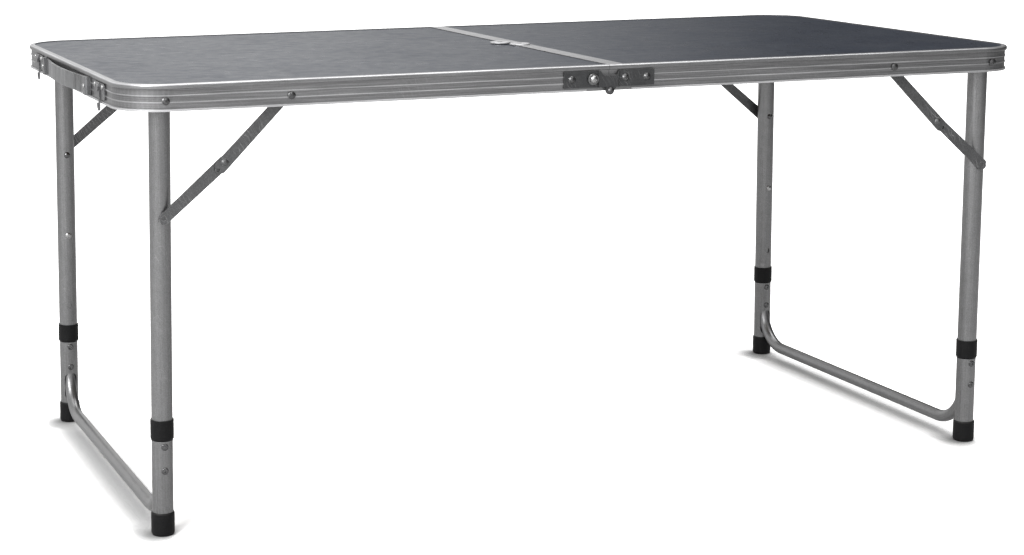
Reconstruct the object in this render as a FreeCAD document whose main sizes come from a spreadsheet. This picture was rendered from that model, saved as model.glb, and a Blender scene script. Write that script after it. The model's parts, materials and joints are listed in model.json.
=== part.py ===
"""Folding table: two aluminium-framed halves hinged at the middle, with folding telescopic legs.

X runs along the table, Y across it (the front is -Y) and Z up. The origin is on the floor under
the middle of the seam. All sizes are millimetres or degrees.
"""
import FreeCAD
import Part

import math
import os

import Sketcher
from FreeCAD import Placement, Rotation, Vector

DRIVING_SIZES = {
    # whole table, with its legs pushed in
    "table_length": 1200,
    "table_width": 600,
    "table_height": 535,
    "corner_radius": 60,
    "seam_gap": 0.4,
    # section of the edge rail: depths are measured inwards from its outermost line
    "rail_height": 31,
    "rail_wall": 1.6,
    "web_recess": 2.2,
    "bead_width": 7,
    "bead_height": 5.6,
    "bead_round": 2.6,
    "bead_lower_round": 1,
    "ledge_reach": 12,
    "ledge_wall": 1.5,
    "flange_reach": 9,
    "lip_height": 2.6,
    "lip_recess": 0.5,
    "rib_depth": 0.8,
    "rib_width": 1.4,
    "upper_rib": 18,
    "lower_rib": 10.2,
    "lip_relief": 30,
    # top boards
    "board_thickness": 3.5,
    "board_recess": 0.8,
    "fit_gap": 0.3,
    # rails along the seam
    "seam_rail_depth": 16,
    "seam_rail_wall": 2,
    "strip_width": 22,
    "strip_thickness": 0.6,
    # leg pivots and stays
    "pivot_inset": 50,
    "pivot_drop": 19,
    "screw_radius": 3,
    "screw_head_radius": 4.6,
    "screw_head_height": 2.6,
    "screw_head_rim": 1,
    "screw_grip": 4,
    "recess_reach": 2.2,
    "recess_width": 1.1,
    "recess_depth": 1.5,
    "running_gap": 0.05,
    "slack_gap": 0.1,
    "stay_spacing": 148,
    "stay_reach": 135.5,
    "stay_bow": 4,
    "stay_width": 15,
    "stay_thickness": 2,
    "stay_inset": 13,
    "stay_tail": 15,
    "spare_hole_radius": 2.5,
    "stay_head_radius": 4.3,
    "stay_shoulder": 2,
    "rivet_chamfer": 0.6,
    "knee_head_height": 2,
    "knee_tail_height": 1.2,
    # legs
    "leg_inset": 20,
    "leg_diameter": 25,
    "leg_wall": 1.2,
    "splay": 1,
    "leg_top": 7,
    "cap_thickness": 1.6,
    "cap_chamfer": 1.4,
    "cross_tube_diameter": 10,
    "cross_tube_wall": 1,
    "bush_flange": 1.4,
    "bush_length": 10,
    "collar_height": 25,
    "collar_wall": 1.3,
    "collar_lip": 3,
    "collar_taper": 1.2,
    "collar_taper_height": 2.5,
    # telescopic lower legs
    "arm_diameter": 22,
    "arm_wall": 1.5,
    "bend_radius": 70,
    "bar_height": 25,
    "hole_spacing": 100,
    "button_height": 268,
    "button_radius": 4,
    "button_stand": 2.4,
    "button_travel": 2,
    "clip_thickness": 0.8,
    "clip_drop": 34,
    "clip_margin": 2,
    "clip_short": 14,
    "clip_offset": 2,
    "arm_hole_gap": 0.5,
    "arm_margin": 20,
    "foot_tube_top": 115,
    "foot_slot_bottom": 37,
    "foot_slot_top": 98,
    "foot_cap_height": 28,
    "foot_cap_wall": 1.4,
    "foot_sole": 4,
    "foot_cap_taper": 1.5,
    "foot_cap_taper_height": 3,
    "foot_cap_edge": 0.8,
    # hinges at the seam
    "leaf_thickness": 2,
    "leaf_length": 60,
    "leaf_bottom": 4.5,
    "leaf_height": 20,
    "leaf_plane_gap": 0.3,
    "ear_radius": 4.8,
    "ear_flare": 4,
    "ear_root": 1,
    "joggle_ease": 0.8,
    "pin_radius": 2,
    "pin_head_radius": 4.8,
    "small_head_radius": 4.5,
    "pin_head_height": 4,
    "notch_depth": 6,
    "notch_bottom": 9,
    "notch_top": 13.5,
    "stud_offset": 23,
    "stud_height": 15,
    "roller_radius": 7,
    "roller_thickness": 5,
    "roller_step": 1.2,
    "roller_step_width": 1.4,
    "roller_edge": 0.6,
    "hinge_screw_near": 21,
    "hinge_screw_far": 50,
    # handle and latches on the left end, keepers on the right end
    "handle_half_span": 118,
    "handle_bulge": 8,
    "handle_width": 20,
    "handle_thickness": 2.4,
    "handle_cap_length": 13,
    "handle_cap_depth": 7,
    "handle_cap_edge": 1,
    "handle_cap_round": 3,
    "latch_offset": 182,
    "latch_plate_length": 56,
    "latch_plate_height": 19,
    "latch_plate_thickness": 1.4,
    "latch_plate_drop": 1,
    "latch_plate_corner": 3,
    "latch_head_height": 1.2,
    "latch_pivot_height": 18,
    "hook_thickness": 1.5,
    "hook_drop": 24,
    "hook_eye_wall": 3.5,
    "hook_bill_wall": 3.5,
    "keeper_height": 7,
    "keeper_radius": 2.5,
    "keeper_lip": 1.5,
    "keeper_head_height": 1.4,
    "keeper_grip": 2,
    # discs that keep the two boards level at the seam
    "disc_radius": 13.5,
    "disc_thickness": 1.8,
    "disc_boss_radius": 6,
    "disc_chamfer": 0.6,
    "disc_well_radius": 4.2,
    "disc_well_depth": 1.1,
    "disc_x": 8,
    "disc_y": 14,
}


class Size:
    """A number that also carries the sheet formula it comes from, so that features can be bound to it."""

    def __init__(self, value, formula=None):
        self.value = float(value)
        self.formula = formula or f"({self.value:.9g})"

    @staticmethod
    def of(number):
        return number if isinstance(number, Size) else Size(number)

    def __add__(self, other):
        other = Size.of(other)
        return Size(self.value + other.value, f"({self.formula} + {other.formula})")

    def __sub__(self, other):
        other = Size.of(other)
        return Size(self.value - other.value, f"({self.formula} - {other.formula})")

    def __mul__(self, other):
        other = Size.of(other)
        return Size(self.value * other.value, f"({self.formula} * {other.formula})")

    def __truediv__(self, other):
        other = Size.of(other)
        return Size(self.value / other.value, f"({self.formula} / {other.formula})")

    def __neg__(self):
        return Size(0) - self

    __radd__ = __add__
    __rmul__ = __mul__

    def __rsub__(self, other):
        return Size.of(other) - self


def root(number):
    return Size(math.sqrt(number.value), f"sqrt({number.formula})")


def sine(angle):
    return Size(math.sin(math.radians(angle.value)), f"sin({angle.formula} * 1 deg)")


def cosine(angle):
    return Size(math.cos(math.radians(angle.value)), f"cos({angle.formula} * 1 deg)")


def tangent(angle):
    return Size(math.tan(math.radians(angle.value)), f"tan({angle.formula} * 1 deg)")


def larger(first, second):
    return Size(max(first.value, second.value), f"max({first.formula}; {second.formula})")


class Sizes:
    """The driving sizes by name, such as size.leg_diameter, each bound to its cell in the sheet."""

    def __init__(self, document, driving):
        sheet = document.addObject("Spreadsheet::Sheet", "Sizes")
        for row, (name, value) in enumerate(driving.items(), start=1):
            sheet.set(f"A{row}", name)
            sheet.set(f"B{row}", str(value))
            sheet.setAlias(f"B{row}", name)
            setattr(self, name, Size(value, f"Sizes.{name}"))


doc = FreeCAD.newDocument("folding_table")
size = Sizes(doc, DRIVING_SIZES)
doc.recompute()

# Sizes that several pieces share
half_length = size.table_length / 2
half_width = size.table_width / 2
web_inner = size.web_recess + size.rail_wall
rib_face = size.web_recess - size.rib_depth
board_top = size.rail_height - size.board_recess
board_bottom = board_top - size.board_thickness
rail_bottom_height = size.table_height - size.rail_height
half_gap = size.seam_gap / 2
pivot_x = half_length - size.pivot_inset
pivot_height = size.table_height - size.pivot_drop
leg_radius = size.leg_diameter / 2
leg_bore = leg_radius - size.leg_wall
leg_y = half_width - size.leg_inset - leg_radius
arm_radius = size.arm_diameter / 2
floor_z = -(pivot_height / cosine(size.splay))
button_z = floor_z + size.button_height
foot_tube_top_z = floor_z + size.foot_tube_top
stay_gap = size.fit_gap
upper_stay_y = half_width - size.stay_inset
lower_stay_y = upper_stay_y - size.stay_thickness - stay_gap


# --- helpers -----------------------------------------------------------------------------------


def bind(item, path, number):
    """Set a property from a size and keep it bound to the sheet."""
    item.setExpression(path, Size.of(number).formula)


def new_body(label, at=(0, 0, 0), turn=None):
    """A body with its own placement: a point made of sizes, and a rotation."""
    body = doc.addObject("PartDesign::Body", label)
    body.Label = label
    point = [Size.of(value) for value in at]
    body.Placement = Placement(Vector(*[value.value for value in point]), turn or Rotation())
    for letter, value in zip("xyz", point):
        bind(body, f"Placement.Base.{letter}", value)
    return body


def origin_plane(body, role):
    return next(item for item in body.Origin.OriginFeatures if item.Role == role)


def new_sketch(body, plane, offset=0):
    """A sketch on one of the body's own planes, moved along that plane's normal."""
    sketch = body.newObject("Sketcher::SketchObject", body.Label + "_sketch")
    sketch.AttachmentSupport = [(origin_plane(body, plane), "")]
    sketch.MapMode = "FlatFace"
    sketch.AttachmentOffset = Placement(Vector(0, 0, Size.of(offset).value), Rotation())
    bind(sketch, "AttachmentOffset.Base.z", offset)
    return sketch


def constrain(sketch, kind, *place_and_value):
    """Add one dimension and bind it to its size."""
    *place, number = place_and_value
    number = Size.of(number)
    index = sketch.addConstraint(Sketcher.Constraint(kind, *place, number.value))
    name = f"{kind}_{index}"
    sketch.renameConstraint(index, name)
    bind(sketch, f"Constraints.{name}", number)


def pin_point(sketch, geometry, end, point):
    constrain(sketch, "DistanceX", geometry, end, point[0])
    constrain(sketch, "DistanceY", geometry, end, point[1])


def arc_between(start, end, radius):
    """The short arc from start to end, which turns left when the radius is positive."""
    chord = end - start
    reach = math.sqrt(max(radius ** 2 - (chord.Length / 2) ** 2, 0))
    left = Vector(-chord.y, chord.x, 0).normalize()
    centre = (start + end) / 2 + left * math.copysign(reach, radius)
    first, last = (start, end) if radius > 0 else (end, start)
    angles = [math.atan2(point.y - centre.y, point.x - centre.x) for point in (first, last)]
    return Part.ArcOfCircle(Part.Circle(centre, Vector(0, 0, 1), abs(radius)), *angles)


def draw_path(sketch, corners, closed):
    """Draw lines and arcs through corners. A corner (x, y, r) is reached along an arc of radius r."""
    places = [[Size.of(value) for value in corner] for corner in corners]
    points = [Vector(place[0].value, place[1].value, 0) for place in places]
    ends = []
    for index in range(0 if closed else 1, len(places)):
        place, start, end = places[index], points[index - 1], points[index]
        if len(place) == 3:
            geometry = sketch.addGeometry(arc_between(start, end, place[2].value), False)
            first, last = (1, 2) if place[2].value > 0 else (2, 1)
            radius = place[2] if place[2].value > 0 else -place[2]
            constrain(sketch, "Radius", geometry, radius)
        else:
            geometry = sketch.addGeometry(Part.LineSegment(start, end), False)
            first, last = 1, 2
        if ends:
            sketch.addConstraint(Sketcher.Constraint("Coincident", *ends[-1][1], geometry, first))
        else:
            opening = (geometry, first)
        ends.append((place, (geometry, last)))
    if closed:
        sketch.addConstraint(Sketcher.Constraint("Coincident", *ends[-1][1], *opening))
    else:
        pin_point(sketch, *opening, places[0])
    for place, end in ends:
        pin_point(sketch, *end, place)


def draw_outline(sketch, corners):
    draw_path(sketch, corners, closed=True)


def draw_box(sketch, x_low, x_high, y_low, y_high):
    draw_outline(sketch, [(x_low, y_low), (x_high, y_low), (x_high, y_high), (x_low, y_high)])


def draw_circle(sketch, x, y, radius):
    x, y, radius = Size.of(x), Size.of(y), Size.of(radius)
    circle = Part.Circle(Vector(x.value, y.value, 0), Vector(0, 0, 1), radius.value)
    geometry = sketch.addGeometry(circle, False)
    constrain(sketch, "Radius", geometry, radius)
    pin_point(sketch, geometry, 3, (x, y))


def add_feature(body, kind, sketch, length=None, both_ways=False, backwards=False):
    """A pad or a pocket. Without a length, a pocket goes through everything."""
    feature = body.newObject("PartDesign::" + kind, f"{body.Label}_{kind}")
    feature.Profile = sketch
    if length is None:
        feature.Type = "ThroughAll"
    else:
        bind(feature, "Length", length)
    feature.Midplane = both_ways
    feature.Reversed = backwards
    return feature


def pad(body, sketch, length, **how):
    return add_feature(body, "Pad", sketch, length, **how)


def pocket(body, sketch, length=None, **how):
    """Cut a sketch out of the body, and make sure that it did cut."""
    doc.recompute()
    before = body.Shape.Volume
    feature = add_feature(body, "Pocket", sketch, length, **how)
    doc.recompute()
    if body.Shape.Volume > before - 1e-3:
        raise RuntimeError(f"{body.Label}: a pocket cuts nothing")
    return feature


def turn(body, plane, offset, axis_x, outline):
    """Revolve an outline about the sketch's line x = axis_x."""
    sketch = new_sketch(body, plane, offset)
    draw_outline(sketch, outline)
    x = Size.of(axis_x)
    ys = [Size.of(corner[1]).value for corner in outline]
    line = Part.LineSegment(Vector(x.value, min(ys), 0), Vector(x.value, max(ys) + 1, 0))
    axis = sketch.addGeometry(line, True)
    sketch.addConstraint(Sketcher.Constraint("Vertical", axis))
    constrain(sketch, "DistanceX", axis, 1, x)
    feature = body.newObject("PartDesign::Revolution", body.Label + "_Revolution")
    feature.Profile = sketch
    feature.ReferenceAxis = (sketch, ["Axis0"])
    feature.Angle = 360
    return feature


def cut_cross_recess(body, x, tip):
    """Sink a cross recess into a screw head whose crown touches y = -tip."""
    reach, half = size.recess_reach, size.recess_width / 2
    sketch = new_sketch(body, "XZ_Plane", tip)
    draw_outline(sketch, [
        (x + reach, -half),
        (x + reach, half),
        (x + half, half),
        (x + half, reach),
        (x - half, reach),
        (x - half, half),
        (x - reach, half),
        (x - reach, -half),
        (x - half, -half),
        (x - half, -reach),
        (x + half, -reach),
        (x + half, -half),
    ])
    pocket(body, sketch, size.recess_depth)


def mirror_to_rear(body):
    """Copy everything made so far to the other side of the body's XZ plane."""
    doc.recompute()
    feature = body.newObject("PartDesign::Mirrored", body.Label + "_Mirrored")
    feature.MirrorPlane = (origin_plane(body, "XZ_Plane"), [""])
    feature.TransformMode = "Whole shape"
    body.Tip = feature
    return feature


def facing(side):
    """The left half is modelled; the right one is the same thing turned round."""
    return Rotation(Vector(0, 0, 1), 0 if side == "left" else 180)


def signed(side, number):
    return Size.of(number) if side == "right" else -number


def half_body(side, label):
    """A body in a half's frame: x = 0 at the seam, the half towards -x, z = 0 under its rail."""
    return new_body(f"{side}_{label}", (0, 0, rail_bottom_height), facing(side))


def at_pivot(side, label, inboard=0, up=0):
    """A body whose Y axis passes through a point given from the leg pivot."""
    x = signed(side, pivot_x - inboard)
    return new_body(f"{side}_{label}", (x, 0, pivot_height + up), facing(side))


def leaning(side):
    return facing(side) * Rotation(Vector(0, 1, 0), size.splay.value)


def leg_pair_body(side, label):
    """A body in a leg pair's frame: origin on the pivot line, z up along the legs, x inboard."""
    return new_body(f"{side}_{label}", (signed(side, pivot_x), 0, pivot_height), leaning(side))


def head_crown(radius, height):
    """The radius of a dome of this height over a disc of this radius."""
    return (radius * radius + height * height) / (height * 2)


screw_crown = head_crown(size.screw_head_radius, size.screw_head_height - size.screw_head_rim)


# --- the two halves ----------------------------------------------------------------------------


def rib(height):
    """One of the thin ribs on the web's outer face, from its top to its bottom."""
    top, bottom = height + size.rib_width / 2, height - size.rib_width / 2
    return [
        (-half_width + size.web_recess, top),
        (-half_width + rib_face, top),
        (-half_width + rib_face, bottom),
        (-half_width + size.web_recess, bottom),
    ]


def rail_outline():
    """The edge rail's section: bead, ribbed web, ledge under the board, bottom flange and lip."""

    def at(depth):
        return -half_width + depth

    top, bead_bottom = size.rail_height, size.rail_height - size.bead_height
    ledge_bottom = board_bottom - size.ledge_wall
    outline = [
        (at(size.bead_round), top),
        (at(0), top - size.bead_round, size.bead_round),
        (at(0), bead_bottom + size.bead_lower_round),
        (at(size.bead_lower_round), bead_bottom, size.bead_lower_round),
        (at(size.web_recess), bead_bottom),
    ]
    outline += rib(size.upper_rib) + rib(size.lower_rib)
    outline += [
        (at(size.web_recess), size.lip_height),
        (at(size.lip_recess), size.lip_height),
        (at(size.lip_recess), 0),
        (at(size.flange_reach), 0),
        (at(size.flange_reach), size.rail_wall),
        (at(web_inner), size.rail_wall),
        (at(web_inner), ledge_bottom),
        (at(size.ledge_reach), ledge_bottom),
        (at(size.ledge_reach), board_bottom),
        (at(size.bead_width), board_bottom),
        (at(size.bead_width), top),
    ]
    return outline


def hinge_screw_places(side):
    """How far from the seam a hinge leaf is screwed down: on the left, one screw is the stop's stud."""
    near = size.stud_offset if side == "left" else size.hinge_screw_near
    return near, size.hinge_screw_far


def edge_rail(side):
    """One bent length of extrusion round three sides of a half."""
    body = half_body(side, "edge_rail")
    straight_x = -(half_length - size.corner_radius)
    straight_y = half_width - size.corner_radius
    path = new_sketch(body, "XY_Plane")
    draw_path(path, [
        (-half_gap, -half_width),
        (straight_x, -half_width),
        (-half_length, -straight_y, -size.corner_radius),
        (-half_length, straight_y),
        (straight_x, half_width, -size.corner_radius),
        (-half_gap, half_width),
    ], closed=False)
    section = new_sketch(body, "YZ_Plane", -half_gap)
    draw_outline(section, rail_outline())
    sweep = body.newObject("PartDesign::AdditivePipe", body.Label + "_sweep")
    sweep.Profile = section
    sweep.Spine = path
    doc.recompute()
    relief = new_sketch(body, "XY_Plane", size.lip_height)
    past = half_width + size.web_recess
    draw_box(relief, -size.lip_relief, size.lip_relief, -past, -half_width + size.web_recess)
    draw_box(relief, -size.lip_relief, size.lip_relief, half_width - size.web_recess, past)
    pocket(body, relief, size.lip_height * 2)
    holes = new_sketch(body, "XZ_Plane")
    for inboard in (Size(0), size.stay_spacing):
        hole_z = size.rail_height - size.pivot_drop
        draw_circle(holes, -pivot_x + inboard, hole_z, size.screw_radius + size.slack_gap)
    for place in hinge_screw_places(side):
        draw_circle(holes, -place, size.stud_height, size.pin_radius + size.slack_gap)
    pocket(body, holes, both_ways=True)
    if side == "right":
        keeper_holes = new_sketch(body, "YZ_Plane", -half_length)
        for y in (-size.latch_offset, size.latch_offset):
            draw_circle(keeper_holes, y, size.keeper_height, size.keeper_radius + size.slack_gap)
        pocket(body, keeper_holes, web_inner, backwards=True)


def top_board(side):
    """The laminated board, dropped into the rail and resting on its ledge."""
    body = half_body(side, "top_board")
    edge = size.bead_width + size.fit_gap
    radius = size.corner_radius - edge
    end_x, side_y = -(half_length - edge), half_width - edge
    seam_edge = half_gap + (size.seam_rail_wall if side == "right" else Size(0)) + size.fit_gap
    sketch = new_sketch(body, "XY_Plane", board_bottom)
    draw_outline(sketch, [
        (-seam_edge, -side_y),
        (-seam_edge, side_y),
        (end_x + radius, side_y),
        (end_x, side_y - radius, radius),
        (end_x, -side_y + radius),
        (end_x + radius, -side_y, radius),
    ])
    pad(body, sketch, size.board_thickness)


def seam_rail(side):
    """The channel that closes a half at the seam. The right one also carries the cover strip."""
    body = half_body(side, "seam_rail")
    face, inner = -half_gap, -(half_gap + size.seam_rail_wall)
    back = -(half_gap + size.seam_rail_depth)
    shelf = board_bottom - size.ledge_wall
    length = (half_width - size.ledge_reach - size.fit_gap) * 2
    section = new_sketch(body, "XZ_Plane")
    draw_outline(section, [
        (face, 0),
        (face, board_bottom),
        (back, board_bottom),
        (back, shelf),
        (inner, shelf),
        (inner, size.rail_wall),
        (back, size.rail_wall),
        (back, 0),
    ])
    pad(body, section, length, both_ways=True)
    tongue = new_sketch(body, "XZ_Plane")
    draw_box(tongue, inner, face, size.rail_wall + size.fit_gap, shelf - size.fit_gap)
    pad(body, tongue, (half_width - web_inner - size.fit_gap) * 2, both_ways=True)
    if side == "right":
        strip = new_sketch(body, "XZ_Plane")
        strip_bottom = size.rail_height - size.strip_thickness
        edge = -(half_gap + size.strip_width)
        draw_outline(strip, [
            (face, board_bottom),
            (face, size.rail_height),
            (edge, size.rail_height),
            (edge, strip_bottom),
            (inner, strip_bottom),
            (inner, board_bottom),
        ])
        pad(body, strip, (half_width - size.bead_width - size.fit_gap) * 2, both_ways=True)


def rail_inside(reach):
    """How far from the middle the web's inner face is, this far outboard of the leg pivot."""
    inner_radius = size.corner_radius - web_inner
    past_bend = larger(size.corner_radius - size.pivot_inset + reach, Size(0))
    return half_width - size.corner_radius + root(inner_radius * inner_radius - past_bend * past_bend)


cross_tube_radius = size.cross_tube_diameter / 2
bush_end = rail_inside(cross_tube_radius) - size.slack_gap
cross_tube_end = bush_end - size.bush_flange - size.slack_gap / 2


def leg_pivot_screws(side):
    """Screws through the rail, on which the leg pair's cross tube turns."""
    body = at_pivot(side, "leg_pivot_screws")
    seat = -(half_width - rib_face)
    tip = -(cross_tube_end - size.bush_length)
    turn(body, "XY_Plane", 0, 0, [
        (0, tip),
        (size.screw_radius, tip),
        (size.screw_radius, seat),
        (size.screw_head_radius, seat),
        (size.screw_head_radius, seat - size.screw_head_rim),
        (0, seat - size.screw_head_height, -screw_crown),
    ])
    cut_cross_recess(body, Size(0), -seat + size.screw_head_height)
    mirror_to_rear(body)


def stay_pivots(side):
    """Shouldered rivets through the rail, which carry the upper stays."""
    body = at_pivot(side, "stay_pivots", inboard=size.stay_spacing)
    seat = -(half_width - rib_face)
    inner = -(half_width - web_inner - size.slack_gap)
    link = -(upper_stay_y + size.slack_gap)
    tail = link + size.stay_thickness + size.slack_gap * 2
    tail_end = -(lower_stay_y - size.stay_thickness)
    turn(body, "XY_Plane", 0, 0, [
        (0, tail_end),
        (size.stay_head_radius - size.rivet_chamfer, tail_end),
        (size.stay_head_radius, tail_end - size.rivet_chamfer),
        (size.stay_head_radius, tail),
        (size.screw_radius, tail),
        (size.screw_radius, link),
        (size.screw_radius + size.stay_shoulder, link),
        (size.screw_radius + size.stay_shoulder, inner),
        (size.screw_radius, inner),
        (size.screw_radius, seat),
        (size.screw_head_radius, seat),
        (size.screw_head_radius, seat - size.screw_head_rim),
        (0, seat - size.screw_head_height, -screw_crown),
    ])
    mirror_to_rear(body)


# --- hinges at the seam ------------------------------------------------------------------------

leaf_outer = half_width - rib_face + size.leaf_thickness
front_leaf_inner = leaf_outer + size.leaf_plane_gap
front_leaf_outer = front_leaf_inner + size.leaf_thickness
leaf_top = size.leaf_bottom + size.leaf_height


def ear_outline():
    """The lug that drops from a leaf to the pin, rounded about the pin."""
    reach = size.ear_radius + size.ear_flare
    return [
        (-reach, size.leaf_bottom + size.ear_root),
        (-size.ear_radius, 0),
        (0, -size.ear_radius, size.ear_radius),
        (size.ear_radius, 0, size.ear_radius),
        (size.ear_radius, size.leaf_bottom + size.ear_root),
    ]


def hinge_leaves(side):
    """A pair of plain leaves on the left half; on the right, joggled ones with a stop tongue."""
    body = half_body(side, "hinge_leaves")
    tongue = size.stud_offset - size.roller_radius - size.fit_gap
    if side == "left":
        plate = new_sketch(body, "XZ_Plane", half_width - rib_face)
        draw_box(plate, -size.leaf_length, -half_gap, size.leaf_bottom, leaf_top)
        pad(body, plate, size.leaf_thickness)
        ear_inner = half_width - rib_face
    else:
        joggle = size.ear_radius * 2 + size.ear_root
        slope = size.leaf_thickness + size.leaf_plane_gap
        plan = new_sketch(body, "XY_Plane", size.leaf_bottom)
        draw_outline(plan, [
            (-size.leaf_length, -(half_width - rib_face)),
            (-size.leaf_length, -leaf_outer),
            (-(joggle + slope), -leaf_outer),
            (-joggle, -front_leaf_outer),
            (tongue, -front_leaf_outer),
            (tongue, -front_leaf_inner),
            (-(joggle - size.joggle_ease), -front_leaf_inner),
            (-(joggle + slope - size.joggle_ease), -(half_width - rib_face)),
        ])
        pad(body, plan, size.leaf_height)
        ear_inner = front_leaf_inner
    ear = new_sketch(body, "XZ_Plane", ear_inner)
    draw_outline(ear, ear_outline())
    pad(body, ear, size.leaf_thickness)
    notch = new_sketch(body, "XZ_Plane", half_width - rib_face)
    notch_floor = leaf_top - size.notch_depth
    draw_outline(notch, [
        (-size.notch_bottom, notch_floor),
        (size.notch_bottom, notch_floor),
        (size.notch_top, leaf_top + 1),
        (-size.notch_top, leaf_top + 1),
    ])
    pocket(body, notch, size.leaf_thickness * 3, backwards=True)
    holes = new_sketch(body, "XZ_Plane", half_width - rib_face)
    pin_gap = size.running_gap if side == "left" else Size(0)
    draw_circle(holes, 0, 0, size.pin_radius + pin_gap)
    for place in hinge_screw_places(side):
        draw_circle(holes, -place, size.stud_height, size.pin_radius + size.slack_gap)
    pocket(body, holes, size.leaf_thickness * 3, backwards=True)
    mirror_to_rear(body)


def hinge_pins():
    """Ball-headed pins: fast in the right leaves, free to turn in the left ones."""
    body = new_body("hinge_pins", (0, 0, rail_bottom_height), facing("left"))
    inner, seat = -(half_width - rib_face), -front_leaf_outer
    turn(body, "XY_Plane", 0, 0, [
        (0, inner),
        (size.pin_radius, inner),
        (size.pin_radius, seat),
        (size.pin_head_radius, seat),
        (0, seat - size.pin_head_height, -head_crown(size.pin_head_radius, size.pin_head_height)),
    ])
    mirror_to_rear(body)


def small_screw_outline(seat, tip):
    """A domed screw along Y with its head on y = seat, for the hinge leaves."""
    radius, head = size.pin_radius, size.small_head_radius
    return [
        (0, tip),
        (radius, tip),
        (radius, seat),
        (head, seat),
        (0, seat - size.screw_head_height, -head_crown(head, size.screw_head_height)),
    ]


def hinge_screws(side):
    """The screws that hold the leaves to the rail."""
    height = rail_bottom_height + size.stud_height
    body = new_body(f"{side}_hinge_screws", (0, 0, height), facing(side))
    tip = -(half_width - web_inner - size.screw_grip)
    places = [size.hinge_screw_far] if side == "left" else [size.hinge_screw_far, size.hinge_screw_near]
    for place in places:
        outline = [(x - place, *rest) for x, *rest in small_screw_outline(-leaf_outer, tip)]
        turn(body, "XY_Plane", 0, -place, outline)
        cut_cross_recess(body, -place, leaf_outer + size.screw_head_height)
    mirror_to_rear(body)


def stop_stud_body(label):
    height = rail_bottom_height + size.stud_height
    return new_body(label, (-size.stud_offset, 0, height))


def hinge_stop_studs():
    """The screws through the rollers."""
    body = stop_stud_body("hinge_stop_studs")
    seat = -(leaf_outer + size.slack_gap * 2 + size.roller_thickness)
    turn(body, "XY_Plane", 0, 0, small_screw_outline(seat, -(half_width - web_inner - size.screw_grip)))
    cut_cross_recess(body, Size(0), -seat + size.screw_head_height)
    mirror_to_rear(body)


def hinge_stop_rollers():
    """Collars that the right leaves' tongues bear on while the table is open."""
    body = stop_stud_body("hinge_stop_rollers")
    inner = -(leaf_outer + size.slack_gap)
    outer = inner - size.roller_thickness
    bore = size.pin_radius + size.running_gap
    step = size.roller_radius - size.roller_step
    turn(body, "XY_Plane", 0, 0, [
        (bore, inner),
        (size.roller_radius, inner),
        (size.roller_radius, outer + size.roller_step_width + size.roller_edge),
        (step, outer + size.roller_step_width),
        (step, outer),
        (bore, outer),
    ])
    mirror_to_rear(body)


# --- handle, latches and keepers on the ends ---------------------------------------------------

end_face_x = -(half_length - rib_face)
handle_height = (size.lip_height + size.rail_height - size.bead_height) / 2


def handle_strap():
    """A sprung strap that bows out from the end rail."""
    body = new_body("handle_strap", (end_face_x, 0, rail_bottom_height))
    span, thickness = size.handle_half_span, size.handle_thickness
    inner = -size.leaf_plane_gap
    outer = inner - thickness
    radius = head_crown(span, size.handle_bulge)
    sketch = new_sketch(body, "XY_Plane", handle_height - size.handle_width / 2)
    draw_outline(sketch, [
        (inner, span, -radius),
        (outer, span),
        (outer, -span, radius + thickness),
        (inner, -span),
    ])
    pad(body, sketch, size.handle_width)


def handle_end_caps():
    """Moulded keepers that hold the strap's ends to the rail."""
    body = new_body("handle_end_caps", (end_face_x, 0, rail_bottom_height))
    reach = size.handle_half_span + size.fit_gap
    outer_end = reach + size.handle_cap_length
    depth, corner = size.handle_cap_depth, size.handle_cap_round
    bottom = handle_height - size.handle_width / 2 - size.handle_cap_edge
    sketch = new_sketch(body, "XY_Plane", bottom)
    draw_outline(sketch, [
        (0, -reach),
        (0, -outer_end),
        (-depth + corner, -outer_end),
        (-depth, -outer_end + corner, -corner),
        (-depth, -reach),
    ])
    pad(body, sketch, size.handle_width + size.handle_cap_edge * 2)
    mirror_to_rear(body)


def latch_plates():
    """Plates on the left end, each with a headed boss that its hook swings on."""
    thickness = size.latch_plate_thickness
    body = new_body("latch_plates", (end_face_x, 0, rail_bottom_height))
    half_plate = size.latch_plate_length / 2
    low = (size.rail_height - size.latch_plate_height) / 2 - size.latch_plate_drop
    corner = size.latch_plate_corner
    sketch = new_sketch(body, "YZ_Plane", -thickness)
    near, far = -(size.latch_offset - half_plate), -(size.latch_offset + half_plate)
    high = low + size.latch_plate_height
    draw_outline(sketch, [
        (far + corner, low, corner),
        (near - corner, low),
        (near, low + corner, corner),
        (near, high - corner),
        (near - corner, high, corner),
        (far + corner, high),
        (far, high - corner, corner),
        (far, low + corner),
    ])
    pad(body, sketch, thickness)
    boss_length = size.hook_thickness + size.slack_gap * 2
    boss = new_sketch(body, "YZ_Plane", -thickness)
    draw_circle(boss, -size.latch_offset, size.latch_pivot_height, size.screw_radius)
    pad(body, boss, boss_length, backwards=True)
    head = new_sketch(body, "YZ_Plane", -(thickness + boss_length))
    draw_circle(head, -size.latch_offset, size.latch_pivot_height, size.screw_head_radius)
    pad(body, head, size.latch_head_height, backwards=True)
    mirror_to_rear(body)


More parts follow.
